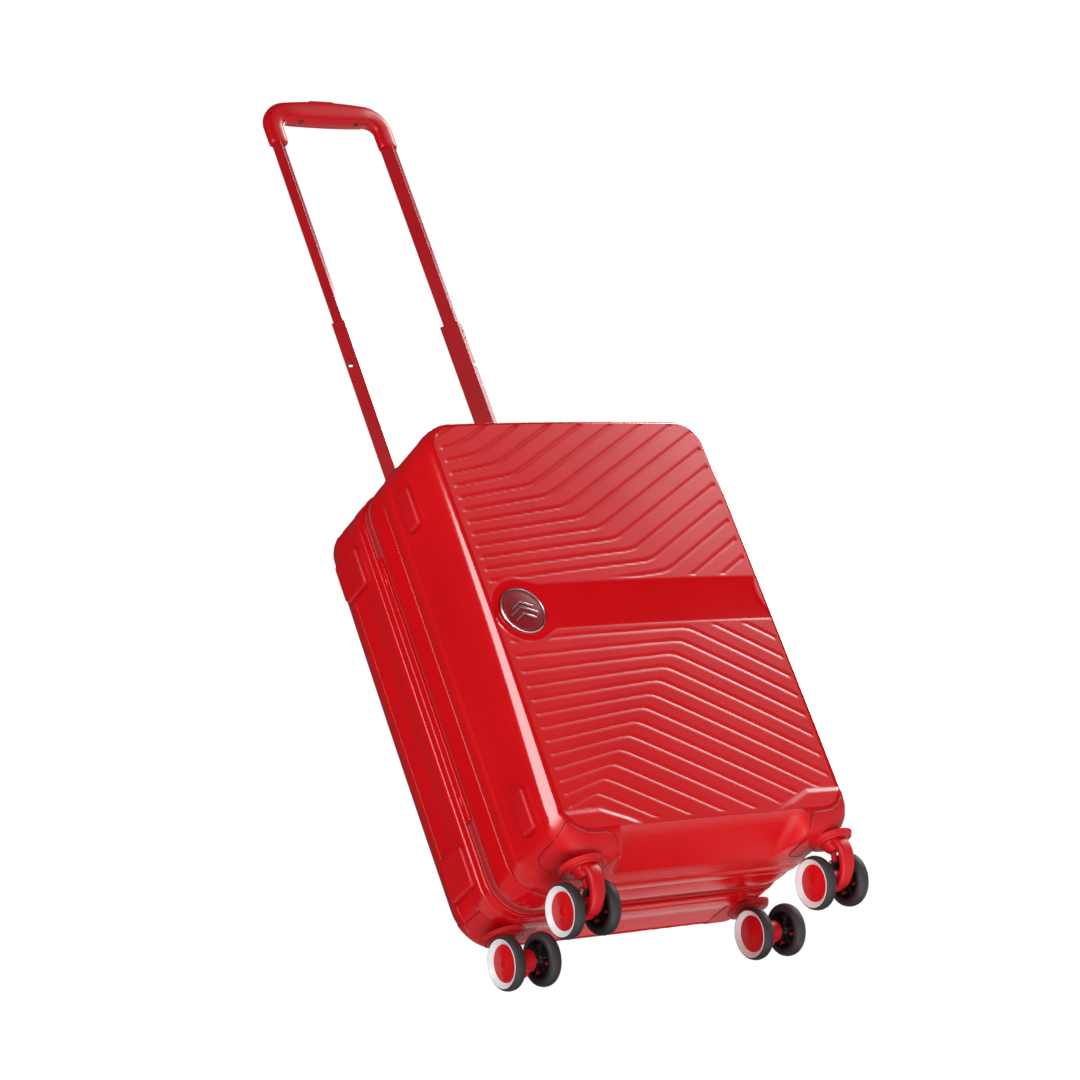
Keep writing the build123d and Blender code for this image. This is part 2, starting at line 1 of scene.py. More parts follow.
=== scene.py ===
import bpy
import numpy as np
from bpy.props import FloatProperty, FloatVectorProperty, IntProperty, PointerProperty
from mathutils import Matrix, Vector


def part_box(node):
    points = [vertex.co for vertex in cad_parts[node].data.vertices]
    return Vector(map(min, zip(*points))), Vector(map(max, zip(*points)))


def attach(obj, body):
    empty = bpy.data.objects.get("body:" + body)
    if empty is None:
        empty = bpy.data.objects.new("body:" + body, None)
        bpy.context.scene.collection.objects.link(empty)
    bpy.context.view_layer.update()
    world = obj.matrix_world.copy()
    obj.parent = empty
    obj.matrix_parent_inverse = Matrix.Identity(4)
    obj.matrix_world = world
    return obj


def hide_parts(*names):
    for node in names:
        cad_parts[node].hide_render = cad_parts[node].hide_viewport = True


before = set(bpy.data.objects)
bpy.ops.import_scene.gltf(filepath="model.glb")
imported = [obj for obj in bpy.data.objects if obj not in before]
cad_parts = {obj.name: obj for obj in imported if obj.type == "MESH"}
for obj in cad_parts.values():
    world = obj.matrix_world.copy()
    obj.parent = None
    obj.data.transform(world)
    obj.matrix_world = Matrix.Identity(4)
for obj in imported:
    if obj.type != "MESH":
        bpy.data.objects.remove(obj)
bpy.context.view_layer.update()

bl_info = {
    "name": "Cabin suitcase",
    "version": (1, 0, 0),
    "blender": (4, 5, 0),
    "location": "View3D > Sidebar > Suitcase",
    "description": "Builds the visible pieces of a hard shell suitcase with four spinner wheel pairs",
    "category": "Object",
}

BACK = 0.1174            # back plane of the case
FRONT = -BACK            # front plane of the case
WALL = 0.0024            # thickness of the moulded shells
BULGE_RISE = 0.0021      # how far the face swells round the lower corners
FACE_SEAT = 0.0017       # depth of the shell behind the face panel
STRAP_MIDDLE, STRAP_HALF = 0.3292, 0.0254
FLOOR_LEVEL = -0.0004
CASE = dict(half=0.181, low=0.064, high=0.548, corner=0.042)
PANEL = dict(half=0.167, low=0.090, high=0.541, corner=0.026)
BADGE_AT = (-0.1338, 0.3269)
GRIP_Y = 0.0970
# outer front facet of the middle tubes: its middle and its direction at the right side
FACET_AT, FACET_OUT = (0.0805, 0.0931), (0.572, -0.820)
PIN_LEVEL, RIVET_LEVELS = 0.7495, (0.7945, 0.7860)
WHEEL_R, WHEEL_W, PITCH = 0.0272, 0.0135, 0.0413
CORNERS = {
    "front_left": (-0.1525, -0.091, 1),
    "front_right": (0.1525, -0.091, 1),
    "rear_left": (-0.1525, 0.066, -1),
    "rear_right": (0.1525, 0.066, -1),
}
TRAIL = 0.020


# ---------------------------------------------------------------- meshes from arrays


def smoothstep(value):
    """3 t^2 - 2 t^3 with t the value held between 0 and 1."""
    t = np.clip(value, 0.0, 1.0)
    return t * t * (3.0 - 2.0 * t)


def grid_faces(rows, cols, wrap_rows=False, wrap_cols=False, start=0):
    """Quads (i,j), (i,j+1), (i+1,j+1), (i+1,j) of a grid of points, wrapped where asked."""
    i = np.arange(rows if wrap_rows else rows - 1)[:, None]
    j = np.arange(cols if wrap_cols else cols - 1)[None, :]
    i2, j2 = (i + 1) % rows, (j + 1) % cols
    quads = np.stack([i * cols + j, i * cols + j2, i2 * cols + j2, i2 * cols + j], axis=-1)
    return quads.reshape(-1, 4) + start


def join(parts):
    """One (points, faces) pair from several, each face index moved past the points before it."""
    points, faces, start = [], [], 0
    for verts, quads in parts:
        points.append(verts)
        faces.extend((np.asarray(f) + start).tolist() for f in quads)
        start += len(verts)
    return np.concatenate(points), faces


def make_piece(name, verts, faces, body, key, replaces=(), angle=38.0, attributes=(), merge=True):
    """A mesh object at the origin that rides on a body, with the finish of that key; doubles are merged
    and faces turned outward."""
    import bmesh

    mesh = bpy.data.meshes.new(name)
    faces = faces.tolist() if isinstance(faces, np.ndarray) else faces
    mesh.from_pydata(np.asarray(verts, dtype=float).tolist(), [], faces)
    for label, values in attributes:
        layer = mesh.attributes.new(label, "FLOAT", "POINT")
        layer.data.foreach_set("value", np.asarray(values, dtype=np.float32).ravel())
    if merge:
        work = bmesh.new()
        work.from_mesh(mesh)
        bmesh.ops.remove_doubles(work, verts=work.verts, dist=2e-6)
        bmesh.ops.dissolve_degenerate(work, edges=work.edges, dist=1e-7)
        bmesh.ops.recalc_face_normals(work, faces=work.faces)
        work.to_mesh(mesh)
        work.free()
    mesh.polygons.foreach_set("use_smooth", np.ones(len(mesh.polygons), dtype=bool))
    mesh.set_sharp_from_angle(angle=np.radians(angle))
    mesh.update()
    piece = bpy.data.objects.new(name, mesh)
    bpy.context.scene.collection.objects.link(piece)
    piece.data.materials.append(finish(key))
    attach(piece, body)
    if replaces:
        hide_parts(*replaces)
    return piece


def cut_box(piece, low, high):
    """Cut the box from low to high out of a closed piece, and keep the result as its mesh."""
    low, high = np.asarray(low), np.asarray(high)
    corners = np.array([(i, j, k) for i in (0, 1) for j in (0, 1) for k in (0, 1)])
    mesh = bpy.data.meshes.new("cutter")
    mesh.from_pydata((low + (high - low) * corners).tolist(), [],
                     [(0, 1, 3, 2), (4, 6, 7, 5), (0, 4, 5, 1), (2, 3, 7, 6), (0, 2, 6, 4), (1, 5, 7, 3)])
    cutter = bpy.data.objects.new("cutter", mesh)
    bpy.context.scene.collection.objects.link(cutter)
    change = piece.modifiers.new("cut", "BOOLEAN")
    change.operation, change.object, change.solver = "DIFFERENCE", cutter, "EXACT"
    bpy.context.view_layer.update()
    result = bpy.data.meshes.new_from_object(piece.evaluated_get(bpy.context.evaluated_depsgraph_get()))
    piece.modifiers.clear()
    if len(result.polygons) < len(piece.data.polygons) // 2:
        raise RuntimeError(f"{piece.name}: the cut failed")
    result.name = piece.name
    piece.data = result
    bpy.data.objects.remove(cutter)
    bpy.data.meshes.remove(mesh)


def revolve(profile, axis, centre, steps=64):
    """Closed profile (along, radius) turned round an axis: p = c + along a + radius (cos t b + sin t d)."""
    along, radius = np.asarray(profile, dtype=float).T
    t = np.linspace(0, 2 * np.pi, steps, endpoint=False)[None, :]
    a = np.asarray(axis, dtype=float)
    a = a / np.linalg.norm(a)
    b = np.cross(a, (0.0, 0.0, 1.0) if abs(a[2]) < 0.9 else (1.0, 0.0, 0.0))
    b = b / np.linalg.norm(b)
    d = np.cross(a, b)
    points = (np.asarray(centre, dtype=float) + along[:, None, None] * a
              + radius[:, None, None] * (np.cos(t)[..., None] * b + np.sin(t)[..., None] * d))
    return points.reshape(-1, 3), grid_faces(len(along), steps, True, True)


def sweep(path, widths, depths, side, power=2.6, steps=40):
    """Superellipse section carried along a path: p = c + w |cos|^(2/n) s + h |sin|^(2/n) u, with
    u = tangent x s."""
    path = np.asarray(path, dtype=float)
    tangent = np.gradient(path, axis=0)
    tangent /= np.linalg.norm(tangent, axis=1)[:, None]
    side = np.broadcast_to(np.asarray(side, dtype=float), path.shape)
    up = np.cross(tangent, side)
    t = np.linspace(0, 2 * np.pi, steps, endpoint=False)
    c = np.sign(np.cos(t)) * np.abs(np.cos(t)) ** (2 / power)
    s = np.sign(np.sin(t)) * np.abs(np.sin(t)) ** (2 / power)
    w, h = np.asarray(widths)[:, None, None], np.asarray(depths)[:, None, None]
    rings = path[:, None, :] + w * c[None, :, None] * side[:, None, :]
    rings = rings + h * s[None, :, None] * up[:, None, :]
    rows = len(path)
    points = np.concatenate([rings.reshape(-1, 3), path[:1], path[-1:]])
    faces = grid_faces(rows, steps, False, True).tolist()
    j = np.arange(steps)
    first, last = rows * steps, rows * steps + 1
    faces += np.stack([np.full(steps, first), (j + 1) % steps, j], axis=1).tolist()
    faces += np.stack([np.full(steps, last), (rows - 1) * steps + j, (rows - 1) * steps + (j + 1) % steps],
                      axis=1).tolist()
    return points, faces


def curve_points(knots, count):
    """Catmull-Rom curve through the knots: cubic in each span with tangents (next - last) / 2."""
    k = np.asarray(knots, dtype=float)
    k = np.concatenate([2 * k[:1] - k[1:2], k, 2 * k[-1:] - k[-2:-1]])
    u = np.linspace(0, len(k) - 3 - 1e-9, count)
    i = u.astype(int)
    t = (u - i)[:, None]
    a, b, c, d = k[i], k[i + 1], k[i + 2], k[i + 3]
    square, cube = 2 * a - 5 * b + 4 * c - d, 3 * b - a - 3 * c + d
    return 0.5 * (2 * b + (c - a) * t + square * t ** 2 + cube * t ** 3)


def boxes(centres, rights, ups, outs, size):
    """Many bevelled blocks at once: p = centre + x r + y u + z o over the corners of one block."""
    x, y, z = (np.asarray(size) / 2)
    e = 0.22
    ring = np.array([(-1, -1 + e), (-1 + e, -1), (1 - e, -1), (1, -1 + e), (1, 1 - e), (1 - e, 1),
                     (-1 + e, 1), (-1, 1 - e)])
    flat = ring * (1 - e * 0.8)
    corners = np.concatenate([np.c_[ring, np.full(8, -1.0)], np.c_[ring, np.full(8, 1 - e)],
                              np.c_[flat, np.ones(8)]])
    corners = corners * (x, y, z)
    n = len(centres)
    points = (centres[:, None, :] + corners[None, :, 0, None] * rights[:, None, :]
              + corners[None, :, 1, None] * ups[:, None, :] + corners[None, :, 2, None] * outs[:, None, :])
    sides = grid_faces(3, 8, False, True)
    quads = (sides[None] + 24 * np.arange(n)[:, None, None]).reshape(-1, 4).tolist()
    lids = (np.arange(8)[::-1][None] + 24 * np.arange(n)[:, None]).tolist()
    tops = (np.arange(16, 24)[None] + 24 * np.arange(n)[:, None]).tolist()
    return points.reshape(-1, 3), quads + lids + tops


def pad(x0, x1, y, z, wide, tall, corner, sides=40):
    """Raised pad on a side of the case: rounded rectangles in y and z stacked from x0 out to x1,
    drawn in by 1 - sqrt(1 - t^2) of the corner towards the top."""
    t = np.linspace(0, 2 * np.pi, sides, endpoint=False)
    c, s = np.cos(t), np.sin(t)
    f = np.array([0.0, 0.0, 0.55, 0.75, 0.88, 0.96, 1.0, 1.0])
    drawn = (1 - np.sqrt(1 - np.clip((f - 0.55) / 0.45, 0, 1) ** 2)) * 0.0024
    drawn = drawn + np.array([0, 0, 0.0005, 0, 0, 0, 0, 0.004])
    rows = []
    for share, inset in zip(f, drawn):
        r = max(corner - inset, 0.0008)
        dy = np.sign(c) * (wide / 2 - inset - r) + c * r
        dz = np.sign(s) * (tall / 2 - inset - r) + s * r
        rows.append(np.stack([np.full(sides, x0 + (x1 - x0) * share), y + dy, z + dz], axis=1))
    points = np.concatenate(rows)
    faces = grid_faces(len(rows), sides, False, True).tolist()
    ids = np.arange(sides)
    return points, faces + [ids.tolist(), (ids[::-1] + (len(rows) - 1) * sides).tolist()]


def loop_cord(loop, radius, sides=8):
    """Thin closed cord along a loop of points: p = path + r (cos t a + sin t b), a and b across it."""
    tangent = np.roll(loop, -1, axis=0) - np.roll(loop, 1, axis=0)
    tangent /= np.linalg.norm(tangent, axis=1)[:, None] + 1e-12
    a = np.cross(tangent, (0.3, 0.9, 0.3))
    a /= np.linalg.norm(a, axis=1)[:, None] + 1e-12
    b = np.cross(tangent, a)
    t = np.linspace(0, 2 * np.pi, sides, endpoint=False)[None, :, None]
    rings = loop[:, None, :] + radius * (np.cos(t) * a[:, None, :] + np.sin(t) * b[:, None, :])
    return rings.reshape(-1, 3), grid_faces(len(loop), sides, True, True)


# ---------------------------------------------------------------- outline of the case

def outline(half, low, high, corner, arc=16, wide=64, tall=84):
    """Rounded rectangle in x and z as (points, normals), from the bottom left, with the same
    number of points on each side and corner whatever its size: corner + r (cos t, sin t)."""
    corner = max(corner, 1e-4)
    cx, lo, hi = half - corner, low + corner, high - corner
    centres = [(-cx, lo), (cx, lo), (cx, hi), (-cx, hi)]
    points, normals = [], []
    for k, (px, pz) in enumerate(centres):
        t = np.radians(180 + 90 * k + np.linspace(0, 90, arc, endpoint=True))
        normal = np.stack([np.cos(t), np.sin(t)], axis=1)
        points.append(np.array([px, pz]) + corner * normal)
        normals.append(normal)
        nx, nz = centres[(k + 1) % 4]
        count = wide if k % 2 == 0 else tall
        f = np.linspace(0, 1, count + 2)[1:-1, None]
        start = points[-1][-1]
        stop = np.array([nx, nz]) + corner * normal[-1]
        points.append(start * (1 - f) + stop * f)
        normals.append(np.repeat(normal[-1:], count, axis=0))
    return np.concatenate(points), np.concatenate(normals)


def case_outline(inset=0.0):
    """Outline of the case drawn inside by inset."""
    return outline(CASE["half"] - inset, CASE["low"] + inset, CASE["high"] - inset,
                   max(CASE["corner"] - inset, 0.002))


def ring_band(profile):
    """Closed ring: each profile point is (inset, y), carried round the outline of the case."""
    rows = []
    for inset, y in profile:
        flat, _ = case_outline(inset)
        rows.append(np.stack([flat[:, 0], np.full(len(flat), y), flat[:, 1]], axis=1))
    points = np.stack(rows)
    return points.reshape(-1, 3), grid_faces(points.shape[0], points.shape[1], True, True)


def crown(x, z):
    """Depth of the swelled face behind its highest point: a (x/X)^2 + b (z/Z)^2."""
    return 0.0042 * (x / 0.167) ** 2 + 0.0022 * ((z - 0.315) / 0.226) ** 2


def recess(x, normal):
    """1 along the slope cut into the lower edge between the housings, 0 elsewhere, with steep ends."""
    return smoothstep(-normal[:, 1] * 1.2 - 0.1) * smoothstep((0.114 - np.abs(x)) / 0.018)


def rounding_end(flat, normal, rear):
    """Depth behind the face at which the rounded edge meets the side wall, for each outline point."""
    x, z = flat.T
    sides = np.abs(normal[:, 0]) ** 2
    if rear:
        return 0.022 + 0.010 * sides
    side = 0.036 - 0.014 * smoothstep((0.36 - z) / 0.24)
    return 0.018 * (1 - sides) + side * sides + 0.038 * recess(x, normal)


def edge_rows(rear, count=14):
    """Rows of the rounded edge from the face to the side wall: P + (Q - P) sin(kt) / sin k, with the
    depth growing as (1 - cos kt) / (1 - cos k); k below a right angle leaves a crease at the side wall."""
    p, _ = outline(**PANEL)
    q, normal = case_outline()
    face = crown(p[:, 0], p[:, 1])
    rise = rounding_end(q, normal, rear) - face
    k = np.radians(84 - 20 * np.abs(normal[:, 0]) ** 4)[None]
    t = np.linspace(0, 1, count)[:, None]
    slope = recess(q[:, 0], normal)[None] * (0 if rear else 1)
    out = np.sin(t * k) / np.sin(k) * (1 - slope) + slope * t ** 0.8
    back = (1 - np.cos(t * k)) / (1 - np.cos(k)) * (1 - slope) + slope * t
    flat = p[None] + (q - p)[None] * out[..., None]
    depth = face[None] + rise[None] * back
    return flat, depth, normal


def bulge_edge(x):
    """Height of the upper edge of the swelling at each lower corner, falling away to the middle."""
    away = np.abs(x)
    return 0.1085 - 0.42 * np.maximum(0.127 - away, 0)


def bulge(x, z):
    """Soft swelling round each lower corner: 1 below its upper edge, fading out to the middle."""
    return smoothstep(0.5 + (bulge_edge(x) - z) / 0.0065) * smoothstep((np.abs(x) - 0.078) / 0.024)


def shell_surface(rear):
    """Cup of one half as rows from the middle of the face, over the edge and side, and back inside.

    Returns points, faces and a satin mask: 0 on the bright edge, 1 on the satin side wall."""
    way, face_y = (-1, BACK) if rear else (1, FRONT)
    end = 0.0814 if rear else 0.1014
    flat, depth, normal = edge_rows(rear)
    p = flat[0]
    rows, mask = [], []

    def add(xz, d, satin):
        y = face_y + way * np.broadcast_to(d, (len(p),))
        rows.append(np.stack([xz[:, 0], y, xz[:, 1]], axis=1))
        mask.append(np.broadcast_to(satin, (len(p),)))

    middle = np.array([0.0, 0.3155])
    for k in (0.0, 0.45, 0.9):
        xz = middle + (p - middle) * k
        add(xz, crown(xz[:, 0], xz[:, 1]) + FACE_SEAT, 0.0)
    add(p + normal * 0.0003, crown(p[:, 0], p[:, 1]) + FACE_SEAT, 0.0)
    for k in range(len(flat)):
        lift = BULGE_RISE * bulge(flat[k][:, 0],
                                  flat[k][:, 1]) * (1 - k / (len(flat) - 1)) * (0 if rear else 1)
        add(flat[k] + (normal * 0.0003 if k == 0 else 0), depth[k] - lift,
            0.0 if rear else smoothstep(-normal[:, 1] * 3) * min(k / 3, 1.0))
    q, _ = case_outline()
    turn = depth[-1]
    ridge = end - 0.017
    steps = [(0.0, 0.0006, 0.0), (0.0025, 0.0009, 1.0), (0.0045, 0.0005, 1.0)]
    for ahead, inset, satin in steps:
        add(q - normal * inset, turn + ahead, satin)
    for f in (0.2, 0.4, 0.6, 0.8):
        add(q - normal * 0.0004, (turn + 0.006) * (1 - f) + (ridge - 0.004) * f, 1.0)
    lip = 0.0010 if not rear else 0.0004
    for d, out in ((ridge - 0.003, -0.0004), (ridge - 0.001, 0.0), (ridge + 0.001, lip),
                   (ridge + 0.004, lip * 1.2),
                   (end - 0.006, lip * 1.1), (end - 0.003, lip * 0.6), (end - 0.001, -0.0006),
                   (end, -0.0016)):
        add(q + normal * out, d, 0.4)
    inner, _ = case_outline(WALL)
    add(inner, end, 0.4)
    add(inner, end - 0.02, 1.0)
    add(inner, turn + 0.004, 1.0)
    inset_flat = flat - normal[None] * WALL
    for k in (9, 5, 1):
        add(inset_flat[k], depth[k] + 0.0026, 1.0)
    for k in (0.93, 0.45, 0.0):
        xz = middle + (p - middle) * k
        add(xz, crown(xz[:, 0], xz[:, 1]) + 0.0036, 1.0)
    points = np.stack(rows)
    return points.reshape(-1, 3), grid_faces(points.shape[0], points.shape[1], False,
                                             True), np.stack(mask).ravel()


# ---------------------------------------------------------------- the grooved face

def soft_ramp(value, width):
    """Rounded corner of max(value, 0): width log(1 + exp(value / width))."""
    return width * np.logaddexp(0.0, value / width)


def groove(x, z, kink, slope, droop, ends, toward):
    """Depth 0 to 1 of one bent groove: level to the kink, sloped after it, with one steep wall.

    t = (z - line) cos a is the distance from the line; the steep wall is on the side of the strap."""
    run = x - kink[0]
    fall = np.minimum(run, 0) * droop / max(kink[0] - ends[0], 0.01)
    line = kink[1] + slope * soft_ramp(run, 0.0035) + fall
    bend = smoothstep(run / 0.006 + 0.5)
    cos = 1 / np.sqrt(1 + (slope * bend) ** 2)
    t = (z - line) * cos * toward
    profile = smoothstep((t + 0.0026) / 0.0010) * np.clip(1 - (t + 0.0016) / 0.0042, 0, 1)
    start = smoothstep((x - ends[0]) / 0.006)
    stop = smoothstep((ends[1] - x) / 0.0016)
    return profile * start * stop


def strap_field(x, z):
    """Distance inside the smooth strap band with its round badge seat, in metres, negative outside."""
    bar = np.minimum(STRAP_HALF - np.abs(z - STRAP_MIDDLE), x - BADGE_AT[0])
    reach = 0.1605 + 0.010 * ((z - 0.336) / 0.0256) ** 2
    bar = np.minimum(bar, reach - x)
    seat = 0.0345 - np.hypot(x - BADGE_AT[0], z - BADGE_AT[1])
    k = 0.006
    h = np.clip(0.5 + 0.5 * (bar - seat) / k, 0, 1)
    return seat * (1 - h) + bar * h + k * h * (1 - h)


def face_relief(x, z, rear):
    """Depth of grooves, strap and seat behind the swelled face, and the smoothness mask of the strap."""
    depth = np.zeros_like(x)
    strap = strap_field(x, z) if not rear else np.full_like(x, -1.0)
    clear = smoothstep(-(strap + 0.0022) / 0.0018)
    low_edge = np.maximum(bulge_edge(x) + 0.0038, 0.0945)
    clear = clear * smoothstep((z - low_edge) / 0.0022) * smoothstep((0.5415 - z) / 0.003)
    grooves = np.zeros_like(x)
    for k in range(17):
        kink = (-0.1518 + 0.0160 * k, 0.5346 - 0.01315 * k)
        droop = 0.0155 * np.tanh((k + 1.6) / 7)
        left = -0.1625 if k < 13 else -0.090
        cut = groove(x, z, kink, 0.56, droop, (left, 0.1625), 1)
        grooves = np.maximum(grooves, cut * (z > 0.33))
    for k in range(-2, 15):
        kink = (0.0543 - 0.01476 * k, 0.2973 - 0.01415 * k)
        droop = 0.014 * np.tanh((max(k, 0) + 1) / 4)
        left = -0.1615 if k >= 0 else 0.02
        cut = groove(x, z, kink, -0.56, droop, (left, 0.1635), -1)
        grooves = np.maximum(grooves, cut * (z < 0.33))
    depth += 0.00115 * grooves * clear
    inside = smoothstep(strap / 0.0016 + 0.2)
    hollow = 1 - np.clip((z - STRAP_MIDDLE) / STRAP_HALF, -1, 1) ** 2
    depth += inside * (0.0004 + 0.0008 * hollow)
    seat = np.hypot(x - BADGE_AT[0], z - BADGE_AT[1])
    if not rear:
        depth += 0.0008 * smoothstep((0.0262 - seat) / 0.0008)
    return depth, inside


def face_panel(rear, cols=250, rows=332):
    """Face as a grid x = u w(z), z = v, y = face + crown + relief, closed behind by one flat rim.

    w(z) is the half width less the rounding r - sqrt(r^2 - (r - d)^2) near the top and bottom."""
    way, face_y = (-1, BACK) if rear else (1, FRONT)
    low, high, half, r = PANEL["low"], PANEL["high"], PANEL["half"], PANEL["corner"]
    v = np.linspace(low, high, rows)
    near = np.minimum(v - low, high - v)
    w = half - (r - np.sqrt(np.maximum(r ** 2 - np.maximum(r - near, 0) ** 2, 0)))
    u = np.linspace(-1, 1, cols)
    x = u[None, :] * w[:, None]
    z = np.broadcast_to(v[:, None], x.shape)
    relief, smooth_mask = face_relief(x, z, rear)
    lift = 0 if rear else BULGE_RISE * bulge(x, z)
    y = face_y + way * (crown(x, z) + relief - lift)
    points = np.stack([x, y, z], axis=-1)
    edge = np.concatenate([points[0, :], points[1:, -1], points[-1, -2::-1], points[-2:0:-1, 0]])
    ids = np.arange(rows * cols).reshape(rows, cols)
    loop = np.concatenate([ids[0, :], ids[1:, -1], ids[-1, -2::-1], ids[-2:0:-1, 0]])
    back = edge + np.array([0, way * 0.0016, 0])
    n, total = len(loop), rows * cols
    nxt = np.roll(np.arange(n), -1)
    skirt = np.stack([loop, loop[nxt], total + nxt, total + np.arange(n)], axis=1)
    faces = grid_faces(rows, cols).tolist() + skirt.tolist() + [(total + np.arange(n)[::-1]).tolist()]
    mask = np.concatenate([smooth_mask.ravel(), np.zeros(n)])
    return np.concatenate([points.reshape(-1, 3), back]), faces, mask


# ---------------------------------------------------------------- materials

def node_material(name):
    """Empty node material with its shader and links ready."""
    material = bpy.data.materials.new(name)
    material.use_nodes = True
    tree = material.node_tree
    return material, tree, tree.nodes["Principled BSDF"]


def add_node(tree, kind, **values):
    """New node with its inputs set by socket name or number."""
    node = tree.nodes.new(kind)
    for key, value in values.items():
        if key.startswith("in_"):
            node.inputs[int(key[3:])].default_value = value
        else:
            setattr(node, key, value)
    return node


def link(source, output, target, socket):
    """Join an output of one node to a socket of another in the same tree."""
    source.id_data.links.new(source.outputs[output], target.inputs[socket])


def grain_bump(tree, shader, layers):
    """Chain of bumps from noise on object coordinates: each layer is (scale, detail, strength, distance)."""
    place = add_node(tree, "ShaderNodeTexCoord")
    last = None
    for scale, detail, strength, distance in layers:
        noise = add_node(tree, "ShaderNodeTexNoise", in_2=scale, in_3=detail)
        link(place, "Object", noise, "Vector")
        bump = add_node(tree, "ShaderNodeBump", in_0=strength, in_1=distance)
        link(noise, 0, bump, "Height")
        if last is not None:
            link(last, 0, bump, "Normal")
        last = bump
    link(last, 0, shader, "Normal")
    return place, last


def tone_variation(tree, shader, place, colour, spread, scale):
    """Base colour shaded lighter and darker by a slow noise."""
    noise = add_node(tree, "ShaderNodeTexNoise", in_2=scale, in_3=4.0)
    ramp = add_node(tree, "ShaderNodeValToRGB")
    link(place, "Object", noise, "Vector")
    link(noise, 0, ramp, 0)
    low, high = ramp.color_ramp.elements
    low.position, high.position = 0.35, 0.65
    low.color = tuple(c * (1 - spread) for c in colour[:3]) + (1,)
    high.color = tuple(min(c * (1 + spread), 1) for c in colour[:3]) + (1,)
    link(ramp, 0, shader, "Base Color")
    return noise


def rough_variation(tree, shader, source, low, high):
    """Roughness between two values, driven by a noise."""
    span = add_node(tree, "ShaderNodeMapRange", in_1=0.3, in_2=0.7, in_3=low, in_4=high)
    link(source, 0, span, "Value")
    link(span, 0, shader, "Roughness")


def moulded(name, colour, rough, layers, coat=0.0, spread=0.05, metal=0.0):
    """Moulded or painted finish: fine grain, slow tone change and uneven gloss."""
    material, tree, shader = node_material(name)
    place, _ = grain_bump(tree, shader, layers)
    noise = tone_variation(tree, shader, place, colour, spread, 9.0)
    rough_variation(tree, shader, noise, rough * 0.9, rough * 1.12)
    shader.inputs["Metallic"].default_value = metal
    shader.inputs["IOR"].default_value = 1.42
    shader.inputs["Coat Weight"].default_value = coat
    shader.inputs["Coat Roughness"].default_value = 0.08
    return material


def masked_finish(name, colour, mask, plain, masked, layers, ior):
    """Two glosses of one plastic, blended by a point attribute, with grain only where it is plain."""
    material, tree, shader = node_material(name)
    place, bump = grain_bump(tree, shader, layers)
    noise = tone_variation(tree, shader, place, colour, 0.04, 6.0)
    layer = add_node(tree, "ShaderNodeAttribute", attribute_name=mask)
    gloss = add_node(tree, "ShaderNodeMapRange", in_3=plain, in_4=masked)
    link(layer, "Fac", gloss, "Value")
    uneven = add_node(tree, "ShaderNodeMapRange", in_1=0.3, in_2=0.7, in_3=0.9, in_4=1.1)
    link(noise, 0, uneven, "Value")
    product = add_node(tree, "ShaderNodeMath", operation="MULTIPLY")
    link(gloss, 0, product, 0)
    link(uneven, 0, product, 1)
    link(product, 0, shader, "Roughness")
    if name == "shell_plastic":
        shine = add_node(tree, "ShaderNodeMapRange", in_3=0.5, in_4=0.14)
        link(layer, "Fac", shine, "Value")
        link(shine, 0, shader, "Specular IOR Level")
    rest = add_node(tree, "ShaderNodeMapRange", in_3=layers[-1][2], in_4=layers[-1][2] * 0.05)
    if plain < masked:
        rest.inputs[3].default_value, rest.inputs[4].default_value = layers[-1][2] * 0.05, layers[-1][2]
    link(layer, "Fac", rest, "Value")
    link(rest, 0, bump, "Strength")
    shader.inputs["IOR"].default_value = ior
    return material


def woven(name, colour, pitch):
    """Cloth tape: crossed waves for the weave, raised on the threads and darker between them, that darkening
    being painted shade.
    """
    material, tree, shader = node_material(name)
    place = add_node(tree, "ShaderNodeTexCoord")
    warp = add_node(tree, "ShaderNodeTexWave", in_1=pitch, in_2=1.5, wave_type="BANDS", bands_direction="Z")
    weft = add_node(tree, "ShaderNodeTexWave", in_1=pitch, in_2=1.5, wave_type="BANDS", bands_direction="Y")
    link(place, "Object", warp, "Vector")
    link(place, "Object", weft, "Vector")
    both = add_node(tree, "ShaderNodeMath", operation="MULTIPLY")
    link(warp, "Fac", both, 0)
    link(weft, "Fac", both, 1)
    bump = add_node(tree, "ShaderNodeBump", in_0=0.7, in_1=0.0004)
    link(both, 0, bump, "Height")
    link(bump, 0, shader, "Normal")
    # Colour follows the weave height: painted shade, down to 0.55 of the colour in the hollows between
    # threads.
    ramp = add_node(tree, "ShaderNodeValToRGB")
    ramp.color_ramp.elements[0].color = tuple(c * 0.55 for c in colour[:3]) + (1,)
    ramp.color_ramp.elements[1].color = tuple(colour[:3]) + (1,)
    link(both, 0, ramp, 0)
    link(ramp, 0, shader, "Base Color")
    shader.inputs["Roughness"].default_value = 0.8
    shader.inputs["Sheen Weight"].default_value = 0.3
    shader.inputs["Sheen Roughness"].default_value = 0.5
    return material


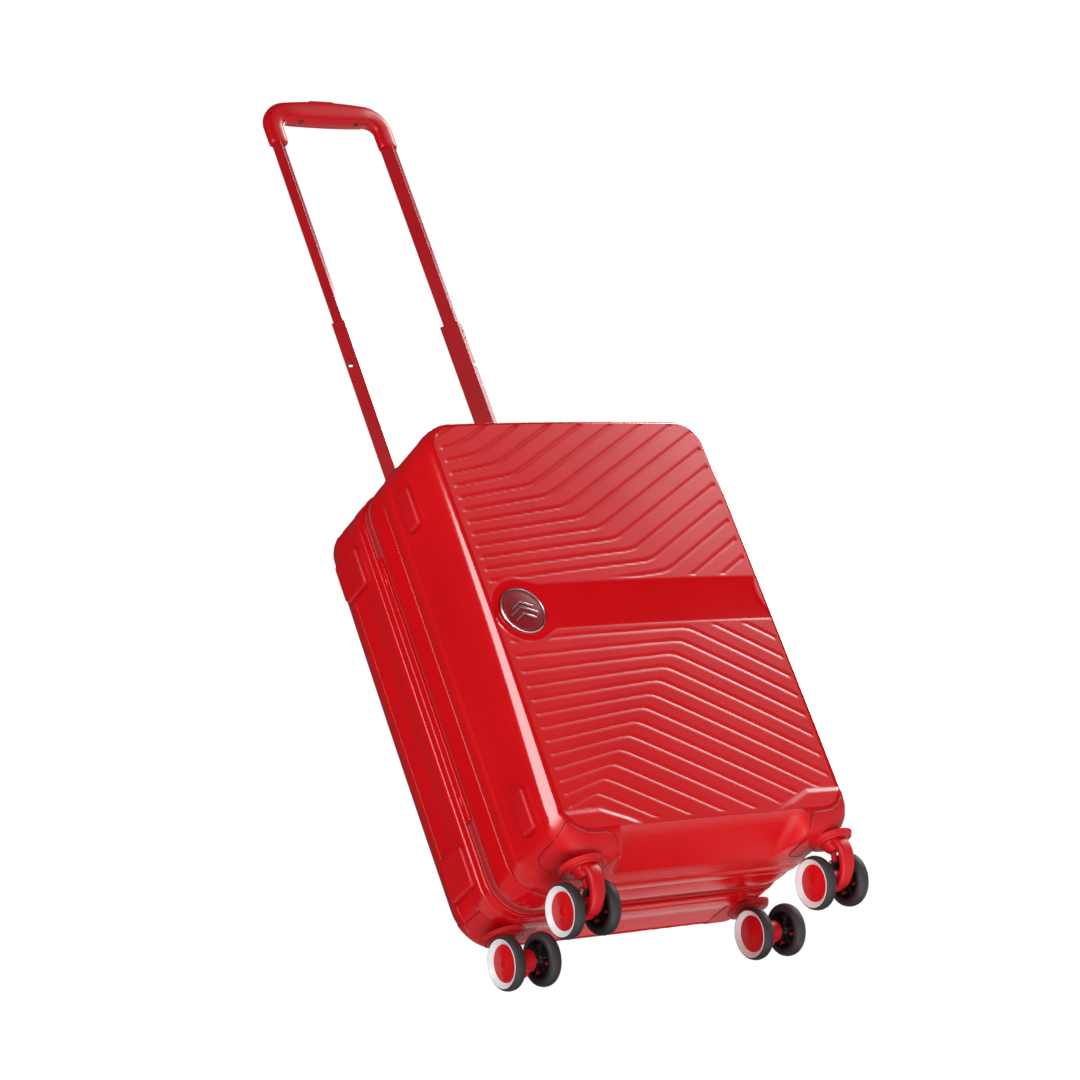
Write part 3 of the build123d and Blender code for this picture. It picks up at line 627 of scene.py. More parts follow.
def finish(key):
    """The finish of that name, made once from the sizes and colours in the panel."""
    if key in bpy.data.materials:
        return bpy.data.materials[key]
    s = bpy.context.scene.suitcase_finish
    red, deep = tuple(s.shell_colour), tuple(s.trim_colour)
    grain = s.grain_scale
    if key == "face_plastic":
        layers = [(90.0, 2.0, 0.04, 0.001), (grain, 3.0, 0.35, 0.0002)]
        return masked_finish(key, red, "smooth", s.face_rough, 0.14, layers, 1.46)
    if key == "shell_plastic":
        layers = [(30.0, 2.0, 0.005, 0.001), (grain, 2.0, 0.05, 0.0001)]
        return masked_finish(key, red, "satin", 0.09, 0.34, layers, 1.95)
    if key == "zip_cloth":
        return woven(key, deep, 420.0)
    # colour, roughness, bump layers as (scale, detail, strength, distance), coat, spread, metal
    table = {
        "band_plastic": (red, 0.18, [(40.0, 2.0, 0.006, 0.001), (grain, 2.0, 0.04, 0.0001)]),
        "housing_plastic": (deep, 0.42, [(60.0, 2.0, 0.03, 0.001), (grain, 3.0, 0.25, 0.0002)]),
        "foot_plastic": (deep, 0.38, [(60.0, 2.0, 0.03, 0.001), (grain, 3.0, 0.2, 0.0002)]),
        "grip_plastic": (deep, 0.34, [(50.0, 2.0, 0.03, 0.001), (grain, 2.0, 0.15, 0.0002)]),
        "tube_paint": (tuple(s.tube_colour), 0.30, [(25.0, 2.0, 0.01, 0.001), (2400.0, 2.0, 0.06, 0.0001)],
                       0.3),
        "tread_rubber": ((0.036, 0.032, 0.034), 0.55,
                         [(500.0, 3.0, 0.3, 0.0003), (1800.0, 2.0, 0.3, 0.0001)], 0.0, 0.18),
        "hub_plastic": ((0.008, 0.007, 0.008), 0.35, [(700.0, 2.0, 0.2, 0.0002)], 0.0, 0.2),
        "cap_silver": ((0.80, 0.78, 0.79), 0.22, [(900.0, 2.0, 0.05, 0.0001)], 0.2, 0.04, 1.0),
        "cap_red": (red, 0.33, [(1500.0, 3.0, 0.2, 0.0002)]),
        "bright_steel": ((0.62, 0.62, 0.64), 0.25, [(900.0, 2.0, 0.08, 0.0001)], 0.0, 0.06, 1.0),
        "badge_silver": ((0.78, 0.76, 0.77), 0.2, [(1200.0, 2.0, 0.05, 0.0001)], 0.0, 0.05, 1.0),
        "badge_ground": ((0.22, 0.004, 0.010), 0.3, [(900.0, 2.0, 0.08, 0.0001)], 0.2, 0.15),
        "zip_teeth": (tuple(c * 0.9 for c in red), 0.36, [(1500.0, 2.0, 0.1, 0.0001)]),
        "seam_shadow": ((0.09, 0.002, 0.004), 0.6, [(900.0, 2.0, 0.1, 0.0001)], 0.0, 0.2),
        "dark_plastic": ((0.02, 0.018, 0.02), 0.4, [(900.0, 2.0, 0.15, 0.0002)], 0.0, 0.15),
    }
    return moulded(key, *table[key])


def keep_node(node, key):
    """Give a carried-over CAD node its finish."""
    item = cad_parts[node]
    item.data.materials.clear()
    item.data.materials.append(finish(key))


# ---------------------------------------------------------------- settings

class SuitcaseFinish(bpy.types.PropertyGroup):
    """Colours and finishes that a user would change."""

    shell_colour: FloatVectorProperty(name="Shell red", description="Colour of the moulded shells",
                                      subtype="COLOR",
                                      size=3, min=0, max=1, default=(0.575, 0.0017, 0.0050))
    trim_colour: FloatVectorProperty(name="Trim red", description="Colour of housings, feet and grip",
                                     subtype="COLOR",
                                     size=3, min=0, max=1, default=(0.53, 0.0026, 0.0070))
    tube_colour: FloatVectorProperty(name="Tube red", description="Colour of the painted trolley tubes",
                                     subtype="COLOR",
                                     size=3, min=0, max=1, default=(0.41, 0.0034, 0.0080))
    grain_scale: FloatProperty(name="Grain scale", description="Cells per metre of the moulded grain",
                               default=1100.0)
    face_rough: FloatProperty(name="Face roughness", description="Roughness of the grained face",
                              default=0.36,
                              min=0, max=1)


class SuitcaseSizes(bpy.types.PropertyGroup):
    """Sizes of the small parts that carry no fit."""

    tooth_pitch: FloatProperty(name="Tooth pitch", description="Distance from one zip tooth to the next",
                               default=0.0027, unit="LENGTH")
    spoke_count: IntProperty(name="Spokes", description="Spokes in each wheel hub", default=6, min=3,
                             max=12)
    badge_radius: FloatProperty(name="Badge radius", description="Radius of the badge", default=0.0254,
                                unit="LENGTH")
    floor_span: FloatProperty(name="Floor", description="Side of the floor", default=14.0, unit="LENGTH")


# ---------------------------------------------------------------- operators

class SUITCASE_OT_shells(bpy.types.Operator):
    """Grooved faces and cup-shaped shells of both halves"""

    bl_idname = "suitcase.shells"
    bl_label = "Shells"

    def execute(self, context):
        for rear, body, node in ((False, "front_half", "front_shell"), (True, "back_half", "back_shell")):
            verts, faces, satin = shell_surface(rear)
            skin = make_piece(node + "_skin", verts, faces, body, "shell_plastic", (node,), 50,
                              [("satin", satin)])
            if rear:
                low, high = (np.array(corner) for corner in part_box("tube_bezel"))
                cut_box(skin, low + (0.0008, 0.0008, -0.001), high + (-0.0008, -0.0008, 0.01))
            verts, faces, mask = face_panel(rear)
            make_piece(node + "_face", verts, faces, body, "face_plastic", (), 60,
                       [("smooth", mask)], merge=False)
        return {"FINISHED"}


class SUITCASE_OT_bands(bpy.types.Operator):
    """Glossy zip band, zip tape with teeth, rim ring and hinge strip"""

    bl_idname = "suitcase.bands"
    bl_label = "Zip bands"

    def execute(self, context):
        band = [(0.0026, -0.0225), (0.0026, -0.0153), (0.0015, -0.0152), (0.0010, -0.0146),
                (0.0008, -0.012),
                (0.0005, -0.004), (0.0006, 0.006), (0.0010, 0.0118), (0.0016, 0.0133), (0.0024, 0.0137),
                (0.0040, 0.0137), (0.0040, -0.0225)]
        verts, faces = ring_band(band)
        make_piece("zip_band", verts, faces, "front_half", "band_plastic", ("front_band",), 35)
        rim = [(0.0022, 0.0260), (0.0008, 0.0262), (0.0000, 0.0270), (-0.0004, 0.0285), (-0.0002, 0.0300),
               (0.0004, 0.0310), (0.0002, 0.0330), (0.0002, 0.0360), (0.0034, 0.0360), (0.0034, 0.0260)]
        verts, faces = ring_band(rim)
        make_piece("rim_ring", verts, faces, "back_half", "band_plastic", ("back_rim",), 35)
        tape = [(0.0026, 0.0140), (0.0024, 0.0170), (0.0020, 0.0178), (0.0020, 0.0222), (0.0024, 0.0230),
                (0.0026, 0.0259), (0.0036, 0.0259), (0.0036, 0.0140)]
        verts, faces = ring_band(tape)
        make_piece("zip_cloth_ring", verts, faces, "back_half", "zip_cloth", ("zip_tape",), 35)
        self.teeth(context.scene.suitcase_sizes.tooth_pitch)
        z = np.linspace(0.168, 0.466, 40)
        path = np.stack([np.full(40, -0.1800), np.full(40, 0.0200), z], axis=1)
        end = np.where((z > 0.1685) & (z < 0.4655), 1.0, 0.85)
        make_piece("hinge_cover", *sweep(path, 0.0046 * end, 0.0021 * end, (0, 1, 0), 5.0, 32), "back_half",
                   "band_plastic", ("hinge_strip",), 40)
        groups = []
        for middle in (0.192, 0.442):
            pin = [(-0.007, 0.0), (-0.007, 0.0012), (-0.0066, 0.0015), (0.0066, 0.0015), (0.007, 0.0012),
                   (0.007, 0.0)]
            groups.append(revolve(pin, (0, 0, 1), (-0.18115, 0.020, middle), 24))
        make_piece("hinge_pins", *join(groups), "front_half", "band_plastic", ("hinge_knuckles",), 40)
        return {"FINISHED"}

    @staticmethod
    def teeth(pitch):
        """Blocks at even steps along the outline, turned to its normal, in two staggered rows."""
        flat, normal = case_outline(0.0019)
        flat, normal = np.concatenate([flat, flat[:1]]), np.concatenate([normal, normal[:1]])
        along = np.concatenate([[0], np.cumsum(np.linalg.norm(np.diff(flat, axis=0), axis=1))])
        count = int(along[-1] / pitch)
        groups = []
        for shift, y in ((0.0, 0.0186), (0.5, 0.0214)):
            s = (np.arange(count) + shift) * along[-1] / count
            x, z = np.interp(s, along, flat[:, 0]), np.interp(s, along, flat[:, 1])
            nx, nz = np.interp(s, along, normal[:, 0]), np.interp(s, along, normal[:, 1])
            out = np.stack([nx, np.zeros(count), nz], axis=1)
            out /= np.linalg.norm(out, axis=1)[:, None]
            right = np.stack([-out[:, 2], np.zeros(count), out[:, 0]], axis=1)
            up = np.broadcast_to([0.0, 1.0, 0.0], out.shape)
            centre = np.stack([x, np.full(count, y), z], axis=1)
            groups.append(boxes(centre, right, up, out, (pitch * 0.55, 0.0030, 0.0012)))
        verts, faces = join(groups)
        make_piece("zip_teeth_rows", verts, faces, "back_half", "zip_teeth", (), 30, merge=False)


class SUITCASE_OT_badge(bpy.types.Operator):
    """Round badge with a silver rim and three silver chevrons"""

    bl_idname = "suitcase.badge"
    bl_label = "Badge"

    def execute(self, context):
        r = context.scene.suitcase_sizes.badge_radius
        y = FRONT + crown(*BADGE_AT) + 0.0003
        centre = (BADGE_AT[0], y, BADGE_AT[1])
        out = (0, -1, 0)
        rim = [(-0.0010, r - 0.0017), (0.0003, r - 0.0017), (0.0009, r - 0.0013), (0.0010, r - 0.0007),
               (0.0006, r - 0.0002), (-0.0004, r), (-0.0010, r)]
        make_piece("badge_rim", *revolve(rim, out, centre, 96), "front_half", "badge_silver", ("badge",),
                   40)
        disc = [(-0.0010, 0.0), (-0.0010, r - 0.0015), (-0.0002, r - 0.0015), (0.0, r - 0.0022),
                (0.0002, 0.0)]
        make_piece("badge_disc", *revolve(disc, out, centre, 96), "front_half", "badge_ground", (), 40)
        fine = [(-0.0004, r - 0.0043), (0.0003, r - 0.0043), (0.0003, r - 0.0039), (-0.0004, r - 0.0039)]
        make_piece("badge_inner_ring", *revolve(fine, out, centre, 96), "front_half", "badge_silver", (),
                   40)
        groups = []
        for shift in (-0.0088, 0.0, 0.0088):
            knots = np.array([(-0.0160, 0, shift - 0.0052), (-0.0012, 0, shift + 0.0046),
                              (0.0165, 0, shift - 0.0028)])
            knots = knots * (1 - 0.25 * abs(shift) / 0.0088)
            path = np.array([knots[0], (knots[0] + knots[1]) / 2, knots[1], (knots[1] + knots[2]) / 2,
                             knots[2]])
            path = path + np.array([BADGE_AT[0], y - 0.0004, BADGE_AT[1]])
            groups.append(sweep(path, np.full(5, 0.0006), np.full(5, 0.0009), (0, 1, 0), 4.0, 16))
        verts, faces = join(groups)
        make_piece("badge_chevrons", verts, faces, "front_half", "badge_silver", (), 40)
        return {"FINISHED"}


class SUITCASE_OT_housings(bpy.types.Operator):
    """Wheel housings let into the four lower corners"""

    bl_idname = "suitcase.housings"
    bl_label = "Wheel housings"

    @staticmethod
    def plate(rear, side):
        """Patch of the shell surface round one lower corner, raised off it and closed by a skirt.

        The patch is read from the rows of the rounded edge and side wall between two outline points."""
        way, face_y = (-1, BACK) if rear else (1, FRONT)
        depth_in = 0.078 if rear else 0.062
        flat, depth, normal = edge_rows(rear, 30)
        fade = np.linspace(1, 0, 30)[:, None] * (0 if rear else 1)
        lift = BULGE_RISE * bulge(flat[..., 0], flat[..., 1]) * fade
        depth = depth - lift
        q = flat[-1]
        extra = np.linspace(0.03, 1, 16)[:, None]
        turn = depth[-1]
        wall = turn[None] + (np.maximum(depth_in - turn, 0.004))[None] * extra
        rows_xz = np.concatenate([flat, np.broadcast_to(q - normal * 0.0004, (16,) + q.shape)])
        rows_d = np.concatenate([depth, wall])
        points = np.stack([rows_xz[..., 0], face_y + way * rows_d, rows_xz[..., 1]], axis=-1)
        left = (q[:, 0] < -0.117) & (q[:, 1] < 0.092)
        ids = np.nonzero(left)[0]
        if len(ids) and ids[-1] - ids[0] > len(ids):
            split = np.argmax(np.diff(ids)) + 1
            ids = np.concatenate([ids[split:], ids[:split]])
        patch = points[3:, ids]
        rows, cols = patch.shape[:2]
        share = np.concatenate([np.linspace(0, 0.9, 18), [0.94, 0.97, 0.985, 1.0]])[:, None]
        turn = np.linspace(0, 2 * np.pi, 120, endpoint=False)[None]
        power = 2 / 7
        i = (rows - 1) / 2 * (1 + share * np.sign(np.cos(turn)) * np.abs(np.cos(turn)) ** power)
        j = (cols - 1) / 2 * (1 + share * np.sign(np.sin(turn)) * np.abs(np.sin(turn)) ** power)
        i0, j0 = np.clip(i.astype(int), 0, rows - 2), np.clip(j.astype(int), 0, cols - 2)
        a, b = (i - i0)[..., None], (j - j0)[..., None]
        skin = ((patch[i0, j0] * (1 - b) + patch[i0, j0 + 1] * b) * (1 - a)
                + (patch[i0 + 1, j0] * (1 - b) + patch[i0 + 1, j0 + 1] * b) * a)
        out = np.cross(np.roll(skin, -1, axis=1) - np.roll(skin, 1, axis=1), np.gradient(skin, axis=0))
        out[0] = out[1].mean(axis=0)
        out /= np.linalg.norm(out, axis=-1)[..., None] + 1e-12
        middle = skin.reshape(-1, 3).mean(axis=0) + np.array([0.02, way * 0.02, 0.02])
        if np.sum((skin - middle) * out) < 0:
            out = -out
        top = skin + out * (0.0006 * smoothstep((1 - share) / 0.04)[..., None] + 0.0001)
        under = skin - out * 0.0014
        points = np.concatenate([top.reshape(-1, 3), under.reshape(-1, 3)])
        if side > 0:
            points = points * (-1, 1, 1)
        rings, sides = skin.shape[:2]
        below = rings * sides
        rim = (rings - 1) * sides + np.arange(sides)
        nxt = np.roll(rim, -1)
        faces = grid_faces(rings, sides, False, True).tolist()
        faces += grid_faces(rings, sides, False, True, below)[:, ::-1].tolist()
        faces += np.stack([rim, rim + below, nxt + below, nxt], axis=1).tolist()
        # The cord round the rim of the plate is a thin dark tube: painted shade in the seam gap.
        return (points, faces), loop_cord(points[rim], 0.00042)

    def execute(self, context):
        for rear, body, node in ((False, "front_half", "front_housings"),
                                 (True, "back_half", "rear_housings")):
            (left, left_seam_shade), (right, right_seam_shade) = self.plate(rear, -1), self.plate(rear, 1)
            make_piece(node + "_plates", *join([left, right]), body, "housing_plastic", (node,), 40)
            # Dark cords round both plates: painted shade in the seam gaps.
            make_piece(node + "_seam_shades", *join([left_seam_shade, right_seam_shade]), body, "seam_shadow")
            keep = [c for c in CORNERS if c.startswith("rear" if rear else "front")]
            rings = []
            for name in keep:
                x, y, _ = CORNERS[name]
                ring = [(0.0600, 0.0200), (0.0634, 0.0200), (0.0650, 0.0212), (0.0650, 0.0232),
                        (0.0632, 0.0226),
                        (0.0606, 0.0214)]
                rings.append(revolve(ring, (0, 0, 1), (x, y, 0), 72))
            verts, faces = join(rings)
            make_piece(node + "_collars", verts, faces, body, "housing_plastic", (), 40)
        for node, body, y, wide in (("front_feet", "front_half", -0.064, 0.024),
                                    ("back_feet", "back_half", 0.066, 0.046)):
            pads = [pad(-0.1750, -0.1869, y + shift, z, wide, 0.046, 0.0065)
                    for z, shift in ((0.477, 0.004), (0.132, -0.004 if y > 0 else -0.010))]
            make_piece(node + "_pads", *join(pads), body, "foot_plastic", (node,), 35)
        return {"FINISHED"}


class SUITCASE_OT_casters(bpy.types.Operator):
    """Forks with curved arms, and the wheels with tyre, spoked hub and cap"""

    bl_idname = "suitcase.casters"
    bl_label = "Casters"

    @staticmethod
    def fork(x, y, way):
        """Round head, curved arm swept down its front, boss on the axle and the pin inside the arm."""
        head = [(0.0587, 0.0), (0.0587, 0.0170), (0.0592, 0.0186), (0.0603, 0.0193), (0.0620, 0.0195),
                (0.0634, 0.0190), (0.0637, 0.0180), (0.0637, 0.0)]
        neck = [(0.0500, 0.0), (0.0502, 0.0062), (0.0520, 0.0080), (0.0560, 0.0105), (0.0588, 0.0135),
                (0.0592, 0.0)]
        knots = [(0, -0.0060, 0.0600), (0, -0.0128, 0.0540), (0, -0.0147, 0.0440), (0, -0.0110, 0.0330),
                 (0, -0.0030, 0.0240), (0, 0.0080, 0.0190), (0, 0.0190, 0.0215)]
        path = curve_points(knots, 34) * (1, way, 1) + np.array([x, y, 0])
        t = np.linspace(0, 1, 34)
        arm = sweep(path, 0.0085 - 0.0015 * t, 0.0048 - 0.0008 * t, (1, 0, 0), 3.2, 32)
        boss = [(-0.0075, 0.0), (-0.0075, 0.0098), (-0.0066, 0.0108), (0.0066, 0.0108), (0.0075, 0.0098),
                (0.0075, 0.0)]
        axle = (x, y + way * TRAIL, WHEEL_R)
        post = [(-0.0190, 0.0), (-0.0190, 0.0024), (-0.0182, 0.0030), (0.0, 0.0030), (0.0, 0.0)]
        tilt = (0, -way * 0.35, 0.94)
        return join([revolve(head, (0, 0, 1), (x, y, 0), 72), revolve(neck, (0, 0, 1), (x, y, 0), 48), arm,
                     revolve(boss, (1, 0, 0), axle, 56),
                     revolve(post, tilt, (x, y - way * 0.001, 0.0595), 28)])

    @staticmethod
    def tyre(inner_x, way, y):
        """Tread turned round the axle: a rounded crown with shoulders, open for the cap outside."""
        tread = curve_points([(0.0006, 0.0228), (0.0009, 0.0246), (0.0026, 0.0262), (0.0046, 0.0269),
                              (0.0068, 0.0272),
                              (0.0092, 0.0269), (0.0112, 0.0262), (0.0127, 0.0250), (0.0131, 0.0244)], 30)
        socket = [(0.0126, 0.0242), (0.0088, 0.0216), (0.0088, 0.0200)]
        profile = [(0.0014, 0.0200), (0.0006, 0.0212)] + tread.tolist() + socket
        return revolve([(a * way, r) for a, r in profile], (1, 0, 0), (inner_x, y, WHEEL_R), 96)

    @staticmethod
    def hub(inner_x, way, y, spokes):
        """Dished hub turned round the axle, with radial ribs set at even angles."""
        dish = [(0.0010, 0.0031), (0.0010, 0.0055), (0.0024, 0.0066), (0.0060, 0.0072), (0.0066, 0.0100),
                (0.0066, 0.0160), (0.0040, 0.0176), (0.0014, 0.0184), (0.0012, 0.0200), (0.0086, 0.0200),
                (0.0086, 0.0031)]
        body = revolve([(a * way, r) for a, r in dish], (1, 0, 0), (inner_x, y, WHEEL_R), 72)
        t = np.linspace(0, 2 * np.pi, spokes, endpoint=False) + 0.3
        radial = np.stack([np.zeros(spokes), np.cos(t), np.sin(t)], axis=1)
        across = np.stack([np.zeros(spokes), -np.sin(t), np.cos(t)], axis=1)
        out = np.broadcast_to([-float(way), 0.0, 0.0], radial.shape)
        centre = np.array([inner_x + way * 0.0043, y, WHEEL_R]) + radial * 0.0122
        return join([body, boxes(centre, radial, across, out, (0.0122, 0.0022, 0.0050))])

    def execute(self, context):
        spokes = context.scene.suitcase_sizes.spoke_count
        for name, (x, y, way) in CORNERS.items():
            caster = "caster_" + name
            make_piece("fork_body_" + name, *self.fork(x, y, way), caster, "housing_plastic",
                       ("fork_" + name,), 42)
            screw = [(-0.0008, 0.0), (-0.0008, 0.0026), (0.0006, 0.0026), (0.0012, 0.0018), (0.0014, 0.0)]
            place = (x - 0.0045, y + way * 0.0075, 0.0425)
            make_piece("fork_screw_" + name, *revolve(screw, (-0.7, 0, 0.7), place, 24), caster,
                       "bright_steel")
            keep_node("axle_" + name, "bright_steel")
            axle_y = y + way * TRAIL
            for pair, side in (("a", -1), ("b", 1)):
                body = "wheel_%s_%s" % (name, pair)
                tag = name + "_" + pair
                inner = x + side * (PITCH - WHEEL_W) / 2
                make_piece("tread_" + tag, *self.tyre(inner, side, axle_y), body, "tread_rubber",
                           ("tyre_" + tag,), 45)
                make_piece("spokes_" + tag, *self.hub(inner, side, axle_y, spokes), body, "hub_plastic",
                           ("hub_" + tag,), 40)
                t = np.linspace(0, 2 * np.pi, 4, endpoint=False) + 0.75
                pegs = []
                for angle in t:
                    spot = (inner + side * 0.0048, axle_y + 0.0132 * np.cos(angle),
                            WHEEL_R + 0.0132 * np.sin(angle))
                    peg = [(-0.0028, 0.0), (-0.0028, 0.0010), (-0.0022, 0.0014), (0.0020, 0.0015),
                           (0.0020, 0.0)]
                    pegs.append(revolve([(a * side, r) for a, r in peg], (1, 0, 0), spot, 16))
                make_piece("pegs_" + tag, *join(pegs), body, "cap_red")
                ring = [(0.0087, 0.0186), (0.0096, 0.0188), (0.0104, 0.0196), (0.0128, 0.0226),
                        (0.0134, 0.0232),
                        (0.0135, 0.0237), (0.0133, 0.0241), (0.0126, 0.0241), (0.0089, 0.0215)]
                make_piece("ring_" + tag,
                           *revolve([(a * side, r) for a, r in ring], (1, 0, 0), (inner, axle_y, WHEEL_R),
                                    96),
                           body, "cap_silver", ("cap_" + tag,), 30)
                disc = [(0.0108, 0.0), (0.0108, 0.0032), (0.0087, 0.0032), (0.0087, 0.0190),
                        (0.0094, 0.0190),
                        (0.0097, 0.0183), (0.0099, 0.0075), (0.0110, 0.0052), (0.0113, 0.0040),
                        (0.0113, 0.0)]
                make_piece("disc_" + tag,
                           *revolve([(a * side, r) for a, r in disc], (1, 0, 0), (inner, axle_y, WHEEL_R),
                                    72),
                           body, "cap_red", (), 40)
        return {"FINISHED"}


class SUITCASE_OT_trolley(bpy.types.Operator):
    """Telescopic tubes, their locking pins, the grip and its button"""

    bl_idname = "suitcase.trolley"
    bl_label = "Trolley handle"

    def execute(self, context):
        for node in ("outer_tubes", "middle_tubes", "upper_tubes"):
            keep_node(node, "tube_paint")
        for node in ("tube_bezel", "base_bracket"):
            keep_node(node, "housing_plastic")
        z0, top, bar, leg, r = 1.0460, 1.1036, 0.0137, 0.0117, 0.021
        x0, level = 0.0838 - leg, top - bar - 0.0009
        t = np.linspace(0, np.pi / 2, 12)
        left = np.stack([-x0 + r * (1 - np.cos(t)), 0 * t, level - r + r * np.sin(t)], axis=1)
        right = left[::-1] * (-1, 1, 1)
        x = np.linspace(-0.045, 0.045, 13)
        path = np.concatenate([[(-x0, 0, z0), (-x0, 0, z0 + 0.001), (-x0, 0, z0 + 0.006)], left,
                               np.stack([x, 0 * x, level + 0.0008 * (1 - (x / 0.045) ** 2)], axis=1),
                               right, [(x0, 0, z0 + 0.006), (x0, 0, z0 + 0.001), (x0, 0, z0)]])
        path = path + (0, GRIP_Y, 0)
        n = len(path)
        steps = np.arange(n)
        wide = np.interp(steps, (0, 3, 15, n - 16, n - 4, n - 1),
                         (0.0066, 0.0071, 0.0102, 0.0102, 0.0071, 0.0066))
        tall = np.interp(steps, (0, 3, 14, n - 15, n - 4, n - 1),
                         (0.0109, 0.0111, 0.0128, 0.0128, 0.0111, 0.0109))
        tall = tall + 0.0025 * np.clip(1 - (path[:, 0] / 0.051) ** 2, 0, 1) * (path[:, 2] > level - 0.001)
        wide[[0, -1]] *= 0.95
        tall[[0, -1]] *= 0.95
        make_piece("grip_body", *sweep(path, wide, tall, (0, 1, 0), 2.9, 56), "upper_stage",
                   "grip_plastic", ("grip",), 40)
        keep_node("grip_button", "grip_plastic")
        head = [(-0.0030, 0.0), (-0.0030, 0.0028), (0.0001, 0.0028), (0.0004, 0.0025), (0.0004, 0.0015),
                (-0.0008, 0.0010),
                (-0.0009, 0.0)]
        heads = [revolve(head, (0, -0.29, -0.957), (side * 0.0365, GRIP_Y - 0.0045, level - 0.0135),
                         32) for side in (-1, 1)]
        make_piece("grip_screw_heads", *join(heads), "upper_stage", "dark_plastic", ("grip_screws",))
        pins, dimples = [], []
        for side in (-1, 1):
            axis = np.array([side * FACET_OUT[0], FACET_OUT[1], 0.0])
            spot = np.array([side * FACET_AT[0], FACET_AT[1], 0.0])
            pin = [(-0.0012, 0.0), (-0.0012, 0.0030), (0.0001, 0.0030), (0.0003, 0.0026), (0.0003, 0.0)]
            pins.append(revolve(pin, axis, spot + (0, 0, PIN_LEVEL), 28))
            for z in RIVET_LEVELS:
                dot = [(-0.0008, 0.0), (-0.0008, 0.0019), (0.0002, 0.0019), (0.0002, 0.0013),
                       (-0.0003, 0.0009), (-0.0003, 0.0)]
                dimples.append(revolve(dot, axis, spot + (0, 0, z), 20))
        make_piece("tube_pins", *join(pins), "middle_stage", "bright_steel")
        make_piece("tube_rivets", *join(dimples), "middle_stage", "tube_paint")
        return {"FINISHED"}


class SUITCASE_OT_handles(bpy.types.Operator):
    """Top and side carry handles, lock and zip sliders"""

    bl_idname = "suitcase.handles"
    bl_label = "Carry handles and lock"

    def execute(self, context):
        t = np.linspace(-1, 1, 40)
        along = 0.075 * t
        arch = 0.0022 * (1 - t ** 6)
        thick = 0.0024 * (1 - 0.25 * t ** 8)
        wide = 0.0105 * (1 - 0.10 * t ** 2) * np.where(np.abs(t) > 0.97, 0.9, 1.0)
        path = np.stack([along, np.full(40, 0.062), 0.5496 + arch], axis=1)
        top = sweep(path, wide, thick, (0, 1, 0), 3.2, 32)
        posts = boxes(np.array([(-0.065, 0.062, 0.5375), (0.065, 0.062, 0.5375)]),
                      np.tile([1.0, 0, 0], (2, 1)),
                      np.tile([0, 1.0, 0], (2, 1)), np.tile([0, 0, 1.0], (2, 1)), (0.008, 0.008, 0.0240))
        make_piece("top_handle_bar", *join([top, posts]), "carry_top", "grip_plastic", ("top_handle",), 40)
        path = np.stack([0.1826 + arch, np.full(40, 0.076), 0.300 + along], axis=1)
        grip = sweep(path, wide, thick, (0, 1, 0), 3.2, 32)
        posts = boxes(np.array([(0.1705, 0.076, 0.235), (0.1705, 0.076, 0.365)]),
                      np.tile([0, 0, 1.0], (2, 1)),
                      np.tile([0, 1.0, 0], (2, 1)), np.tile([1.0, 0, 0], (2, 1)), (0.008, 0.008, 0.0240))
        make_piece("side_handle_bar", *join([grip, posts]), "carry_side", "grip_plastic", ("side_handle",),
                   40)
        keep_node("lock_body", "grip_plastic")
        keep_node("lock_dials", "dark_plastic")
        keep_node("zip_slider_upper", "bright_steel")
        keep_node("zip_slider_lower", "bright_steel")
        return {"FINISHED"}


